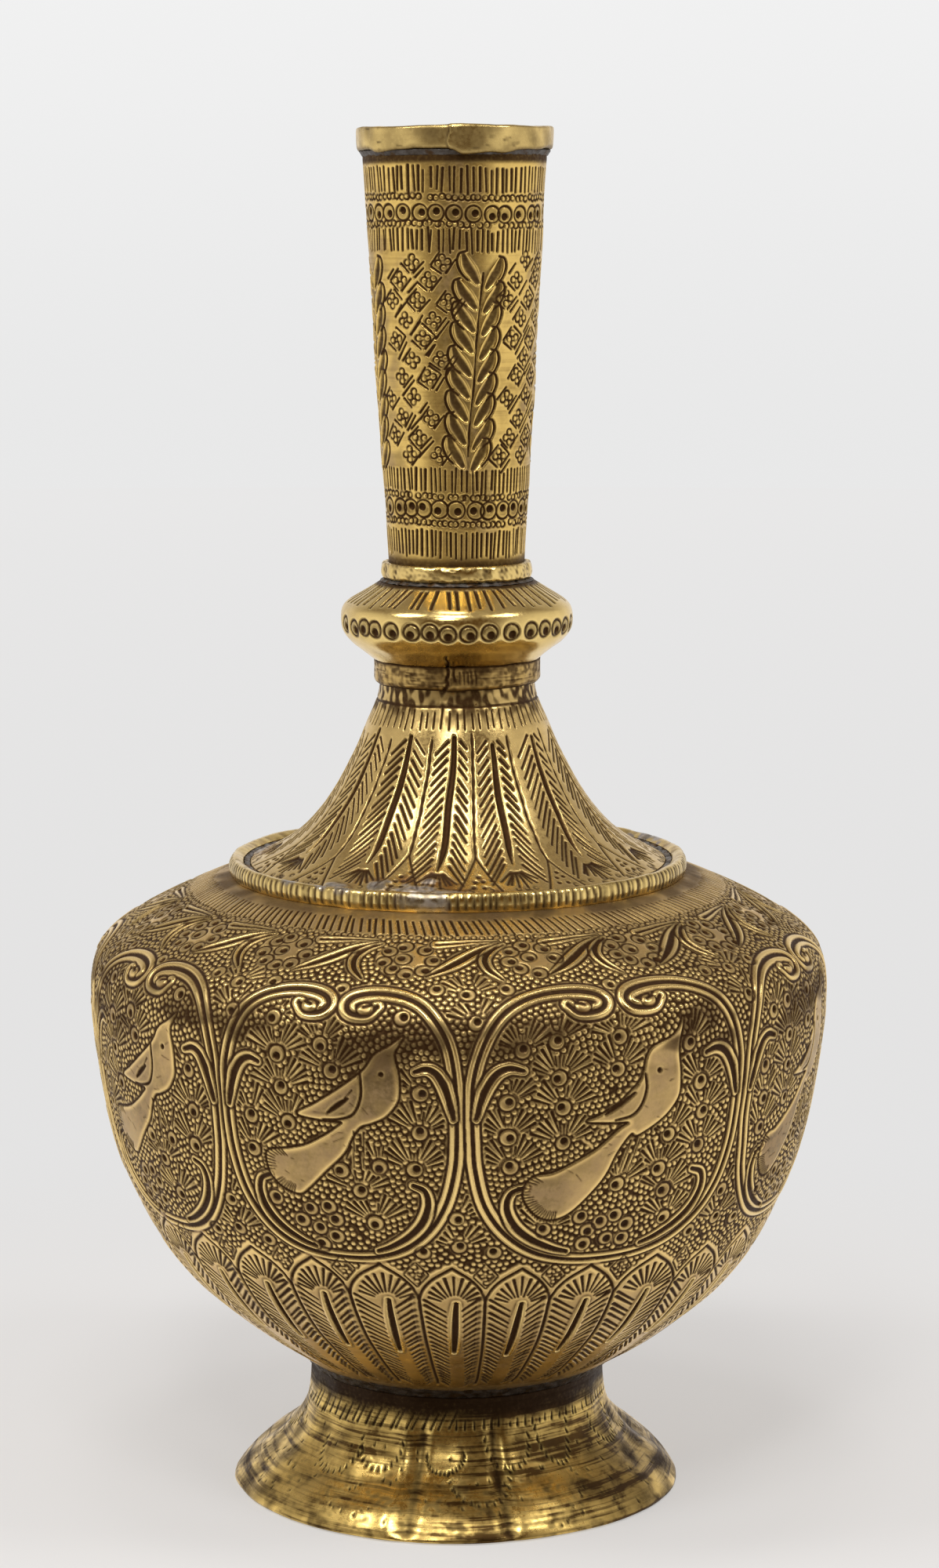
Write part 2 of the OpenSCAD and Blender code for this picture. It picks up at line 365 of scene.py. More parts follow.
    def matt(self, zone, pitch=1.28, r=0.62, depth=0.3, w=0.17, edge=0.5):
        """Fills what is left of the ground with small ring punches, in rows that follow the outlines."""
        busy = self.busy | ~zone
        b = np.roll(busy[::2, ::2], self.cols // 4, axis=1)
        rows, cols = b.shape
        cell = 2 * self.ds
        dist = np.zeros(b.shape, np.int16)
        cur = b.copy()
        for k in range(1, int(7 / cell)):
            nxt = cur.copy()
            nxt[1:] |= cur[:-1]
            nxt[:-1] |= cur[1:]
            nxt |= np.roll(cur, 1, 1) | np.roll(cur, -1, 1)
            if k % 2 == 0:
                nxt[1:, 1:] |= cur[:-1, :-1]
                nxt[:-1, :-1] |= cur[1:, 1:]
                nxt[1:, :-1] |= cur[:-1, 1:]
                nxt[:-1, 1:] |= cur[1:, :-1]
            dist[nxt & ~cur] = k
            cur = nxt
            if cur.all():
                break
        dist[~cur] = int(7 / cell)
        rr, cc = np.nonzero(~b & (dist * cell >= edge))
        band = np.floor((dist[rr, cc] * cell - edge) / (pitch * 0.98)).astype(int)
        order = np.lexsort((rr, cc, band))
        stop = np.zeros(b.shape, bool)
        discs = {}
        got = []
        Rr = self.R[::2]
        for r_, c_ in zip(rr[order].tolist(), cc[order].tolist()):
            if stop[r_, c_]:
                continue
            got.append((r_, c_))
            key = int(Rr[r_] / 2)
            if key not in discs:
                ky, kx = int(pitch / cell) + 1, int(pitch / (2 * self.dt * Rr[r_])) + 1
                yy, xx = np.mgrid[-ky:ky + 1, -kx:kx + 1]
                discs[key] = (ky, kx, np.hypot(yy * cell, xx * 2 * self.dt * Rr[r_]) < pitch)
            ky, kx, m = discs[key]
            y0, y1, x0, x1 = max(0, r_ - ky), min(rows, r_ + ky + 1), max(0, c_ - kx), min(cols, c_ + kx + 1)
            stop[y0:y1, x0:x1] |= m[y0 - r_ + ky:y1 - r_ + ky, x0 - c_ + kx:x1 - c_ + kx]
        if not got:
            return 0
        got = np.array(got, float)
        n = len(got)
        rng = self.rng
        s = got[:, 0] * cell + rng.normal(0, 0.05, n)
        th = np.degrees((got[:, 1] - cols // 2) * 2 * self.dt) + self.deg(rng.normal(0, 0.05, n), s)
        # the punch leans the same way for a while, then another
        lean = 1.2 + 1.3 * np.sin(np.radians(th) * 7 + s * 0.21) + rng.normal(0, 0.5, n)
        rr = r * rng.uniform(0.9, 1.1, n)
        self.rings(th, s, r=rr, depth=depth * rng.uniform(0.8, 1.15, n), phi=lean, w=w, busy=False)
        keep, self.cut = self.cut, np.zeros_like(self.cut)
        self.stamp(th, s, r + 0.4, button_mark, (rr + 0.1,), busy=False)
        button, self.cut = -self.cut, keep
        ground = (~busy).astype(np.float32)
        soft = blur(blur(ground, 2), 2)
        self.base -= soft * (0.2 - 0.17 * button)
        # the punched ground between the buttons is painted dark: patina in it, and painted shade
        self.dark = np.maximum(self.dark, blur(ground, 1) * np.clip(0.85 - 2.0 * button, 0, 1))
        return n

    def height(self):
        return self.base + self.cut


def ripple(cv, scale, count, seed, rows=None):
    """Smooth noise over a canvas, of about that wavelength in mm and unit size."""
    rng = np.random.RandomState(seed)
    R0 = float(np.median(cv.R))
    k = TAU / scale * rng.uniform(0.55, 1.5, count)
    a = rng.uniform(0, TAU, count)
    m = np.round(k * np.cos(a) * R0)
    q = k * np.sin(a)
    sv = cv.sv if rows is None else rows
    A = np.exp(1j * (np.outer(sv, q) + rng.uniform(0, TAU, count)[None, :])).astype(np.complex64)
    B = np.exp(1j * np.outer(m, np.arange(cv.cols) * cv.dt)).astype(np.complex64)
    return ((A @ B).real * math.sqrt(2.0 / count)).astype(np.float32)


# ---- Profiles, in mm, as (radius, height). They are the CAD's own curves, listed from the top down.
BODY = curve([(0, 24), (10, 24), (20, 24.4), (27, 25.6), (33, 28.2), (39.3, 32.2), (45.4, 36.2), (53.2, 42.4),
              (60.3, 49), (66.8, 57.4), (71.9, 67), (75.6, 76), (78.3, 86), (80.2, 97), (81.3, 106), (81.5, 112),
              (81.4, 115.5), (80.8, 119.2), (79.2, 122.6), (75.6, 126), (69.8, 129.4), (62.6, 133), (56.6, 135.7),
              (51, 137.6)])[::-1]
BELL = curve([(46, 140.4), (39.6, 143.8), (34.6, 147.4), (30.2, 152.2), (26.8, 157.2), (24.3, 161.8), (22, 166.4),
              (20.1, 171), (18.4, 174.8), (17.35, 177.8), (17, 180)])[::-1]
FOOT = curve([(49.8, 0), (49.65, 0.8), (48.44, 2.3), (46.4, 4.5), (43.17, 7.07), (39.26, 10.06), (35.86, 13.9),
              (33.8, 18), (32.97, 22.3), (32.8, 27.2)])[::-1]
KNOP = curve([(18.25, 185.3), (20.68, 187.24), (22.88, 188.93), (24.46, 190.71), (25.24, 192.4), (25.4, 194.09),
              (25.24, 195.78), (24.67, 197.13), (23.3, 198.4), (20.15, 200.26), (17, 202.2)])[::-1]
NECK = np.array([(19.9, 298.6), (19.9, 293), (14.9, 206.5), (14.9, 201.4)])


def draw_body():
    cv = Canvas(BODY, 3920, 0.13, 11)
    rng = cv.rng
    deg = cv.deg

    # the band of slanted dashes under the shoulder ring, and its row of small rings
    n = 216
    th = np.arange(n) * 360 / n + rng.normal(0, 0.12, n)
    top, bot = 2.9 + rng.normal(0, 0.25, n), 8.7 + rng.normal(0, 0.18, n)
    cv.chisel(np.stack([th, top], 1), np.stack([th + 1.7, bot], 1), w=0.34 * rng.uniform(0.8, 1.15, n), depth=0.3, k=-0.1, dark=0.9)
    cv.busy[:int(8.9 / cv.ds)] = True
    n = 232
    cv.rings(np.arange(n) * 360 / n + rng.normal(0, 0.08, n), 9.5 + rng.normal(0, 0.1, n), r=0.6, depth=0.32, w=0.19, dark=0.8)

    # cartouches: bunches of grapes between leaves
    bunches = [-54.4, -32.3, -8.7, 13.4, 33.5, 53.6] + [53.6 + 21.0 * k for k in range(1, 12)]
    berry = [(-3.7, 14.5), (-1.3, 12.7), (2.5, 13.9), (-0.8, 16.8), (4.2, 17.3), (-4.4, 18.0), (-2.7, 20.5), (0.1, 21.8), (2.7, 20.5)]
    for i, b in enumerate(bunches):
        nxt = bunches[(i + 1) % len(bunches)] + (360 if i == len(bunches) - 1 else 0)
        d = 0.5 * (b + nxt) + rng.uniform(-0.3, 0.3)
        band = lambda w: ([0, 0.5 * w, 0.74 * w, 1.0 * w, 1.35 * w, 1.6 * w, 1.85 * w, 2.1 * w], [-0.42, -0.34, 0.06, 0.14, 0.08, -0.34, -0.3, 0])
        # leaf A runs down to the left, leaf B is the crescent beside it, leaf C lies along the top
        dd, hh = band(1.1)
        cv.trace([(d + 4.6, 11.7), (d + 1.2, 14.0), (d - 1.9, 17.1), (d - 4.9, 20.0), (d - 7.9, 22.5)], dd, hh,
                 taper=lambda t: 0.22 + 0.85 * np.abs(np.sin(np.pi * np.clip(t * 0.92 + 0.04, 0, 1))) ** 1.1, dark=0.8)
        dd, hh = band(0.86)
        cv.trace([(d + 6.0, 12.1), (d + 3.6, 13.9), (d + 2.1, 16.8), (d + 2.6, 20.3), (d + 4.7, 23.7)], dd, hh,
                 taper=lambda t: 0.25 + 0.8 * np.abs(np.sin(np.pi * np.clip(t * 0.88 + 0.07, 0, 1))) ** 0.8, dark=0.8)
        cv.trace([(d + 5.0, 10.9), (d + 0.6, 11.0), (d - 3.4, 11.5), (d - 6.6, 11.9)], [0, 0.2, 0.5, 0.95, 1.2, 1.45], [-0.36, -0.26, 0.08, 0.06, -0.3, 0],
                 taper=lambda t: 0.45 + 0.75 * t, dark=0.7)
        bt = np.array([b + x + rng.uniform(-0.3, 0.3) for x, _ in berry])
        bs = np.array([s + rng.uniform(-0.25, 0.25) for _, s in berry])
        free = ~cv.blocked(bt, bs)
        cv.eyes(bt[free], bs[free], r=1.72 * rng.uniform(0.92, 1.05, free.sum()), depth=0.32, off=0.55, rp=0.95, solid=True, dark=1.0)
        # plain metal between the berries
        cv.plate([(b - 5.4, 13.6), (b - 1.2, 11.4), (b + 4, 12.8), (b + 5.4, 17), (b + 3.6, 21.6), (b, 23.2), (b - 3.6, 21.8), (b - 5.8, 18)],
                 only_mask=True, grow=0.0)

    # medallions
    axes = [-75.5, -37.1, 0.9, 47.8] + [47.8 + 39.45 * k for k in range(1, 7)]
    med = []
    for i in range(9):
        c = 0.5 * (axes[i] + axes[i + 1])
        med.append((c, 0.5 * (axes[i + 1] - axes[i]) - 1.15))
    med[1] = (-18.2, 17.9)
    med[2] = (24.2, 22.2)
    rail = [(0.34, 31.3), (0.27, 33.2), (0.13, 32.9), (0.08, 30.9), (0.14, 28.9), (0.3, 27.9), (0.5, 28.3), (0.68, 30.2), (0.82, 33.6), (0.93, 39), (0.99, 46),
            (1.0, 53), (1.0, 60), (0.98, 66), (0.91, 73.5), (0.77, 79.9), (0.56, 84.6), (0.3, 87.0), (0.0, 87.6)]
    d_rail = [0, 0.32, 0.6, 0.9, 1.5, 1.78, 1.95, 2.15, 2.4]
    h_rail = [-0.4, -0.32, 0.02, 0.18, 0.12, -0.12, -0.36, -0.32, 0]
    d_leaf = [0, 0.45, 0.7, 0.95, 1.3, 1.5, 1.7, 1.95]
    h_leaf = [-0.42, -0.36, 0.04, 0.12, 0.06, -0.3, -0.28, 0]
    for i, (c, hw) in enumerate(med):
        drop = 1.2 if i == 2 else 0.0
        pts = []
        for sg in (-1, 1):
            j = rng.uniform(-0.006, 0.006, len(rail))
            side = [(c + sg * hw * (u + e), s + drop * max(0, (s - 60) / 27)) for (u, s), e in zip(rail, j)]
            pts += side[:-1] if sg < 0 else side[::-1]
        cv.trace(pts, d_rail, h_rail, n=5, rust=0.9, dark=0.2,
                 taper=lambda t: 0.84 + 0.3 * np.exp(-((2 * np.minimum(t, 1 - t) - 0.13) / 0.09) ** 2) - 0.1 * smooth01((2 * np.minimum(t, 1 - t) - 0.8) / 0.2))
        for sg in (-1, 1):
            # the curl closes on a smooth lobe with a nick in it
            lobe = (c + sg * hw * 0.245, 31.9)
            r = cv.radius(lobe[1])
            ang = np.linspace(0, TAU, 13)[:-1]
            cv.plate([(lobe[0] + math.degrees(1.75 * math.cos(a) / r), lobe[1] + 1.45 * math.sin(a)) for a in ang], groove=0.3, gw=0.2, at=0.1, grow=0.2, rise=0.24)
            nick = (lobe[0] + sg * math.degrees(0.2 / r), 31.2)
            cv.chisel([(nick[0] + sg * math.degrees(1.2 / r), nick[1] - 0.5)], [(nick[0] - sg * math.degrees(0.9 / r), nick[1] + 0.4)], w=0.5, depth=0.5, k=0.3, dark=1.0)
            mid = [(c + sg * hw * u, s) for u, s in [(0.67, 44.6), (0.76, 44.0), (0.84, 45.0), (0.9, 47.4), (0.945, 50.8), (0.975, 54.5)]]
            cv.trace(mid, d_leaf, h_leaf, rust=0.7, dark=0.3, taper=lambda t: 0.45 + 0.75 * np.sin(np.pi * np.clip(0.12 + 0.75 * t, 0, 1)))
            low = [(c + sg * hw * u, s + drop * 0.6) for u, s in [(0.64, 69.3), (0.735, 70.6), (0.76, 74.0), (0.7, 78.2), (0.58, 81.6), (0.42, 84.2), (0.3, 85.4)]]
            cv.trace(low, d_leaf, h_leaf, rust=0.7, dark=0.3, taper=lambda t: 0.4 + 0.7 * np.sin(np.pi * np.clip(0.14 + 0.72 * t, 0, 1)))

    bird1 = [(-7.9, 37.4), (-8.6, 39.2), (-9.2, 41.3), (-8.6, 45.4), (-8.5, 48.8), (-8.9, 51.3), (-10.5, 54.2), (-12.6, 55.8), (-14.3, 56.7), (-15.6, 59),
             (-17.1, 62.9), (-20.1, 67.1), (-23.1, 71.3), (-24.9, 72.9), (-27.6, 71.7), (-29.3, 69.2), (-29.9, 65.8), (-29.3, 63.8), (-26.1, 62.9),
             (-23.1, 61.7), (-20.1, 59.4), (-18, 57.3), (-17.1, 55.9), (-20.1, 55.8), (-24, 54.9), (-21.3, 52.5), (-18.6, 50), (-16.5, 47.9),
             (-14.4, 45.6), (-13.2, 43.8), (-12, 41.3), (-9.8, 39.4)]
    bird2 = [(35.0, 36.3), (34.7, 38.2), (33.9, 42.5), (34.3, 48.3), (34.3, 52.5), (33.1, 55.4), (31, 57.9), (27.5, 60.4), (26.3, 59.9), (24.2, 63.8),
             (22.7, 68.3), (20.9, 71.7), (17.6, 76.3), (14.9, 77.9), (12.5, 77.1), (10.7, 74.6), (9.8, 71.7), (10.4, 68.8), (11.9, 67.5), (14.3, 67.1),
             (17.6, 65), (20.9, 62.5), (24.2, 58.8), (25.8, 57.3), (22.4, 56.9), (19.1, 56.3), (20.9, 55.3), (23.6, 53.3), (25.7, 50.8), (27.6, 47.9),
             (28.3, 43.8), (29.5, 41.7), (32.6, 40.2), (34.2, 38.3)]
    eyes1 = [(-26.5, 49.6), (-25.6, 57), (-32, 64), (-27, 42.5), (-18.5, 45.2), (-5.5, 49.2), (-5.6, 57.7), (-6.5, 65.8), (-17.6, 66.7), (-14.9, 71.2),
             (-12.9, 78.5), (-11.7, 65.4), (-27.9, 35), (-8.2, 33.6), (-20.2, 39.8), (-31.9, 56.6)]
    grapes1 = [(-29.2, 74.6), (-23.2, 76.2), (-20.2, 75.4), (-19.2, 78.3), (-25, 79.2), (-22.2, 80.8), (-24.9, 82.9), (-19.5, 82.5), (-22.2, 84.8)]
    eyes2 = [(14.6, 46.5), (15.3, 52.9), (15.5, 60.6), (7, 51.3), (7.2, 58.8), (7.7, 65.4), (23.6, 45.6), (38.2, 50.8), (39.1, 57.5), (39.1, 65),
             (35.8, 42.1), (24.8, 71), (33.1, 61.3), (31.9, 68.8), (33.4, 74), (34.6, 80.6), (9.3, 77.1), (13.4, 80.4), (14.2, 39), (24, 38.9), (9.2, 40.5)]
    grapes2 = [(19.2, 77.9), (22.7, 79.6), (25.2, 78.3), (20.7, 81.3), (27.5, 80.8), (24.2, 83.8), (27.2, 84.4), (20.3, 84.6), (21.9, 87.2), (24.6, 87.2)]
    set1 = dict(c=-18.2, hw=17.9, bird=bird1, eyes=eyes1, grapes=grapes1, eye=(-11.1, 45.3), wing=[(-14.2, 45.0), (-14.1, 50), (-15.3, 54), (-17.6, 55.4), (-20, 55.7)],
                slit=[(-19.3, 54.2), (-17.6, 52.3), (-16, 50.7)], legs=[(-14.6, 57.6), (-14.9, 66.0)], fan_c=(-24.4, 67.0), fan_a=(-162, -45))
    set2 = dict(c=24.2, hw=22.2, bird=bird2, eyes=eyes2, grapes=grapes2, eye=(30.5, 46.8), wing=[(28.1, 47.2), (28.4, 50.4), (27.7, 53.8), (26.2, 55.9), (23.6, 56.6)],
                slit=[(21.8, 55.2), (24.6, 52.8), (26.6, 50.9)], legs=[(27.3, 61.0), (25.5, 68.6)], fan_c=(15.6, 71.4), fan_a=(-172, -58))

    def out_of(S, put, rng):
        """A random place on the bird's breast or tail."""
        P = S["bird"]
        i, j = rng.randint(len(P)), rng.randint(len(P))
        if abs(i - j) > len(P) // 2 or rng.uniform() < 0.3:
            j = (len(P) - i) % len(P)
        u = rng.uniform(0.25, 0.75)
        return put((P[i][0] * u + P[j][0] * (1 - u), P[i][1] * u + P[j][1] * (1 - u)))

    plan = [set1, set1, set2, set2, set1, set2, set1, set2, set1]
    shapes = []
    for i, (c, hw) in enumerate(med):
        S = plan[i]
        fit = hw / S["hw"]
        real = i in (1, 2)
        sh = 0.0 if real else rng.uniform(-0.6, 0.6)
        if S is set2 and i != 2:
            sh -= 0.9
        tw = 0.0 if real else rng.uniform(-0.02, 0.02)

        def put(p, jit=0.0, S=S, fit=fit, c=c, sh=sh, tw=tw):
            x, y = (p[0] - S["c"]) * fit, p[1] + sh
            return (c + x + (y - 58) * tw + (rng.uniform(-jit, jit) if jit else 0), y + tw * x + (rng.uniform(-jit, jit) if jit else 0))

        (rs, cs), sd = cv.plate([put(p) for p in S["bird"]], groove=0.4, gw=0.24, at=0.22, grow=0.5)
        g = cv.grey[rs]
        g[:, cs] = np.maximum(g[:, cs], smooth01((-sd - 0.2) / 1.2))
        dline, hline = [0, 0.12, 0.3, 0.42], [-0.34, -0.28, -0.06, 0]
        cv.trace([put(p) for p in S["wing"]], dline, hline, dark=1.0)
        cv.trace([put(p) for p in S["slit"]], [0, 0.3, 0.55, 0.75], [-0.36, -0.26, -0.05, 0], dark=1.0, taper=lambda t: 0.35 + 0.75 * np.abs(np.sin(np.pi * t)) ** 0.7)
        cv.stamp(*[[v] for v in put(S["eye"])], 1.3, pit_mark, (0.62, 0.4), dark=1.0)
        for k in range(26):
            q = out_of(S, put, rng)
            a_ = rng.uniform(-0.6, 0.9)
            L_ = rng.uniform(0.8, 3.2)
            R_ = cv.radius(q[1])
            e = (q[0] + math.degrees(L_ * math.cos(a_) / R_), q[1] + L_ * math.sin(a_))
            cv.chisel([q], [e], w=0.13, depth=0.07, k=0.5, dark=0.45)
        # small feather cuts across the wing
        a, b = put(S["wing"][1]), put(S["slit"][2])
        for k in range(3):
            q = (a[0] - 1.2 - 0.9 * k, a[1] - 1.3 + 1.5 * k)
            cv.chisel([q], [(q[0] - 1.2, q[1] + 2.0)], w=0.2, depth=0.2, k=0.6)
        # the tail's end is cut into a fringe
        fc = put(S["fan_c"])
        R = cv.radius(fc[1])
        A, B = [], []
        out = np.array([put(p) for p in S["bird"]])
        for a in np.radians(np.linspace(S["fan_a"][0], S["fan_a"][1], 21)):
            ux, uy = math.sin(a), -math.cos(a)
            for q in np.arange(2.0, 9.5, 0.25):
                t = fc[0] + math.degrees(q * ux / R)
                s = fc[1] + q * uy
                if not cv.blocked(t, s):
                    break
            ro, ri = q + 0.3, q - 2.9
            A.append((fc[0] + math.degrees(ro * ux / R), fc[1] + ro * uy))
            B.append((fc[0] + math.degrees(ri * ux / R), fc[1] + ri * uy))
        cv.chisel(A, B, w=0.3, depth=0.3, k=0.75, solid=True)
        legs = [put(p) for p in S["legs"]]
        for e in (-0.75, 0.75):
            cv.chisel([(legs[0][0] + e, legs[0][1])], [(legs[1][0] + e, legs[1][1])], w=0.2, depth=0.3, k=0.3, solid=True)
        shapes.append((i, S, put))
    for i, S, put in shapes:
        E = np.array([put(p, 0.0 if i in (1, 2) else 0.35) for p in S["eyes"]])
        G = np.array([put(p, 0.0 if i in (1, 2) else 0.2) for p in S["grapes"]])
        free = ~cv.blocked(E[:, 0], E[:, 1])
        E = E[free]
        cv.eyes(E[:, 0], E[:, 1], r=1.8 * rng.uniform(0.93, 1.06, len(E)), depth=0.4, off=0.5, rp=0.95, solid=True,
                rust=rng.uniform(0, 1, len(E)) ** 1.5, dark=rng.uniform(0.5, 1, len(E)))
        G = G[~cv.blocked(G[:, 0], G[:, 1])]
        cv.eyes(G[:, 0], G[:, 1], r=1.8 * rng.uniform(0.93, 1.05, len(G)), depth=0.34, off=0.35, rp=1.0, solid=True,
                rust=rng.uniform(0.2, 1, len(G)), dark=rng.uniform(0.1, 0.6, len(G)))
        for t, s in E[np.argsort(-E[:, 1])]:
            cv.fan(t, s, -46 + rng.uniform(-6, 6), n=5, r1=7.5)
            cv.fan(t, s, 46 + rng.uniform(-6, 6), n=5, r1=7.5)
            # the stem: two short wedges that close on the eye
            for e in (-1, 1):
                q0, q1 = (t + float(deg(e * 1.0, s)), s - 4.9), (t + float(deg(e * 0.55, s)), s - 2.2)
                if not cv.blocked(q0[0], q0[1]):
                    cv.chisel([q0], [q1], w=0.34, depth=0.36, k=0.5, solid=True)

    # spandrels between the medallions
    span = [(0.6, 27.7), (1.8, 34.8), (-4.4, 26.4), (6.9, 26.4)]
    for a in axes[:-1]:
        pts = [(a + x + rng.uniform(-0.2, 0.2), s + rng.uniform(-0.3, 0.3)) for x, s in span]
        low = [(a - 1.2, 77.0), (a - 0.8, 84.0), (a - 6.6, 85.6), (a + 4.8, 85.6)]
        for t, s in pts + low:
            if cv.blocked(t, s):
                continue
            cv.eyes([t], [s], r=1.7, depth=0.34, off=0.45, rp=0.9, solid=True, dark=rng.uniform(0.3, 1), rust=rng.uniform(0, 0.7))
        for t, s in [pts[0], pts[1], low[0], low[1]]:
            cv.fan(t, s, -48, n=4, r1=6.6)
            cv.fan(t, s, 48, n=4, r1=6.6)
        # the narrow gap is left plain: this loop stamps nothing
        for s in np.arange(39.5, 44, 1.5):
            pass
    for c, hw in med:
        t, s = c + rng.uniform(-0.3, 0.3), 26.8
        if not cv.blocked(t, s):
            cv.eyes([t], [s], r=1.7, depth=0.34, off=0.3, rp=0.9, solid=True, dark=0.6)

    # petals round the lower bowl
    edge = [-30.9, -19.6, -7.2, 4.4, 16.0, 28.5, 42.0]
    edge += [42.0 + (360 - 72.9) / 24 * k for k in range(1, 24)]
    edge.append(edge[0] + 360)
    for i in range(len(edge) - 1):
        L, Rt = edge[i], edge[i + 1]
        c = 0.5 * (L + Rt) + rng.uniform(-0.4, 0.4)
        top = 90.2 + 2.2 * math.sin(math.radians(c) - 0.3) + rng.uniform(-0.5, 0.5)
        sh = top + 8.4
        line = [(L, 138), (L, 122), (L + 0.05, 106), (L + 0.1, sh), (L + 0.18 * (Rt - L), top + 3.6), (c, top - 0.2),
                (Rt - 0.18 * (Rt - L), top + 3.6), (Rt - 0.1, sh), (Rt - 0.05, 106), (Rt, 122), (Rt, 138)]
        full = np.vstack([curve(line[:6], 5), curve(line[5:], 5)[1:]])
        cv.plate(full, only_mask=True, smooth=False, grow=0.5)
        cv.trace(full, [0, 0.16, 0.34, 0.5], [-0.36, -0.3, -0.08, 0], raw=True, dark=0.9)
        cv.trace(full, [0, 0.5, 0.75, 1.1, 1.6], [0, 0, 0.04, 0.07, 0], raw=True)
        cv.trace([(c + 0.5, top + 9.6), (c + 0.25, top + 14), (c - 0.1, top + 22), (c - 0.5, top + 28 + rng.uniform(-1, 2))], [0, 0.4, 0.58, 0.85, 1.3, 1.65], [-0.6, -0.52, -0.05, 0.2, 0.17, 0],
                 taper=lambda t: 0.4 + 0.75 * np.sin(np.pi * np.clip(0.1 + 0.8 * t, 0, 1)) ** 0.7, dark=1.0)
        A, B = [], []
        for s in np.arange(top + 12.4, 139.5, 1.86):
            for sg, lim in ((-1, L), (1, Rt)):
                s_ = s + rng.uniform(-0.25, 0.25)
                r = cv.radius(s_)
                inner = math.degrees(1.55 / r)
                outer = abs(lim - c) - math.degrees(0.7 / r)
                A.append((c + sg * outer, s_ - 4.2))
                B.append((c + sg * inner, s_ - 0.1))
        for a in np.radians(np.linspace(-66, 66, 11)):
            q = (c + 0.2, top + 10.2)
            r = cv.radius(q[1])
            wide = math.radians(0.5 * (Rt - L)) * r - 0.9
            ro = 1 / math.hypot(math.sin(a) / wide, math.cos(a) / 8.4) + rng.uniform(-0.25, 0.1)
            ri = 2.5 + rng.uniform(-0.2, 0.4)
            A.append((q[0] + math.degrees(ro * math.sin(a) / r), q[1] - ro * math.cos(a)))
            B.append((q[0] + math.degrees(ri * math.sin(a) / r), q[1] - ri * math.cos(a)))
        A, B = np.array(A), np.array(B)
        cv.chisel(A, B, w=0.5 * rng.uniform(0.8, 1.2, len(A)), depth=0.32 * rng.uniform(0.75, 1.15, len(A)), k=0.45, dark=0.9)
        # a small lozenge above each divider
        r = cv.radius(top)
        t, s = L, top + 1.6
        half = math.degrees(2.7 / r)
        cv.chisel([(t - half, s), (t - half, s), (t + half, s), (t + half, s)], [(t, s - 3.4), (t, s + 3.4), (t, s - 3.4), (t, s + 3.4)], w=0.24, depth=0.3, k=0.1, solid=True)
        q = math.degrees(0.75 / r)
        cv.rings([t - q, t + q, t, t], [s, s, s - 0.85, s + 0.85], r=0.5, depth=0.28, w=0.16)
    zone = np.zeros(cv.busy.shape, bool)
    zone[int(10.2 / cv.ds):int(98 / cv.ds)] = True
    cv.count = cv.matt(zone)
    # Darker and duller places: under the ring, where the shoulder turns over, over the lower bowl, and in clouds
    # elsewhere; towards the foot the bowl is darkened as painted shade
    A, S = np.meshgrid(np.degrees(np.arange(cv.cols) * cv.dt), cv.sv)
    cloud = np.clip(0.5 + 0.42 * ripple(cv, 20, 40, 71) + 0.2 * ripple(cv, 6, 60, 72), 0, 1)
    turn = np.exp(-((S - 38) / 8.5) ** 2) + 0.6 * smooth01((26 - S) / 6) + 0.85 * smooth01((6.0 - S) / 3)
    front = 0.35 + 0.65 * cloud
    cv.grey = np.maximum(cv.grey, np.clip(turn * front, 0, 0.9).astype(np.float32))
    cv.grey = np.maximum(cv.grey, (0.4 * smooth01((cloud - 0.55) / 0.35)).astype(np.float32))
    cv.dark = np.maximum(cv.dark, (0.55 * np.exp(-((S - 39) / 6.0) ** 2) * smooth01((cloud - 0.35) / 0.5)).astype(np.float32))
    # painted shade: the bottom of the bowl, just above the foot, is darkened
    joint = float(np.interp(-28.0, -cv.prof[:, 1], cv.arc))
    cv.dark = np.maximum(cv.dark, (smooth01((S - joint + 7.5) / 7) * (0.62 + 0.25 * cloud)).astype(np.float32))
    cv.dark = np.maximum(cv.dark, (0.3 * smooth01((4.6 - S) / 2.5) * (0.5 + cloud)).astype(np.float32))
    cv.grey = np.maximum(cv.grey, (0.62 * smooth01((S - 86) / 9) * (0.45 + 0.55 * cloud)).astype(np.float32))
    return cv


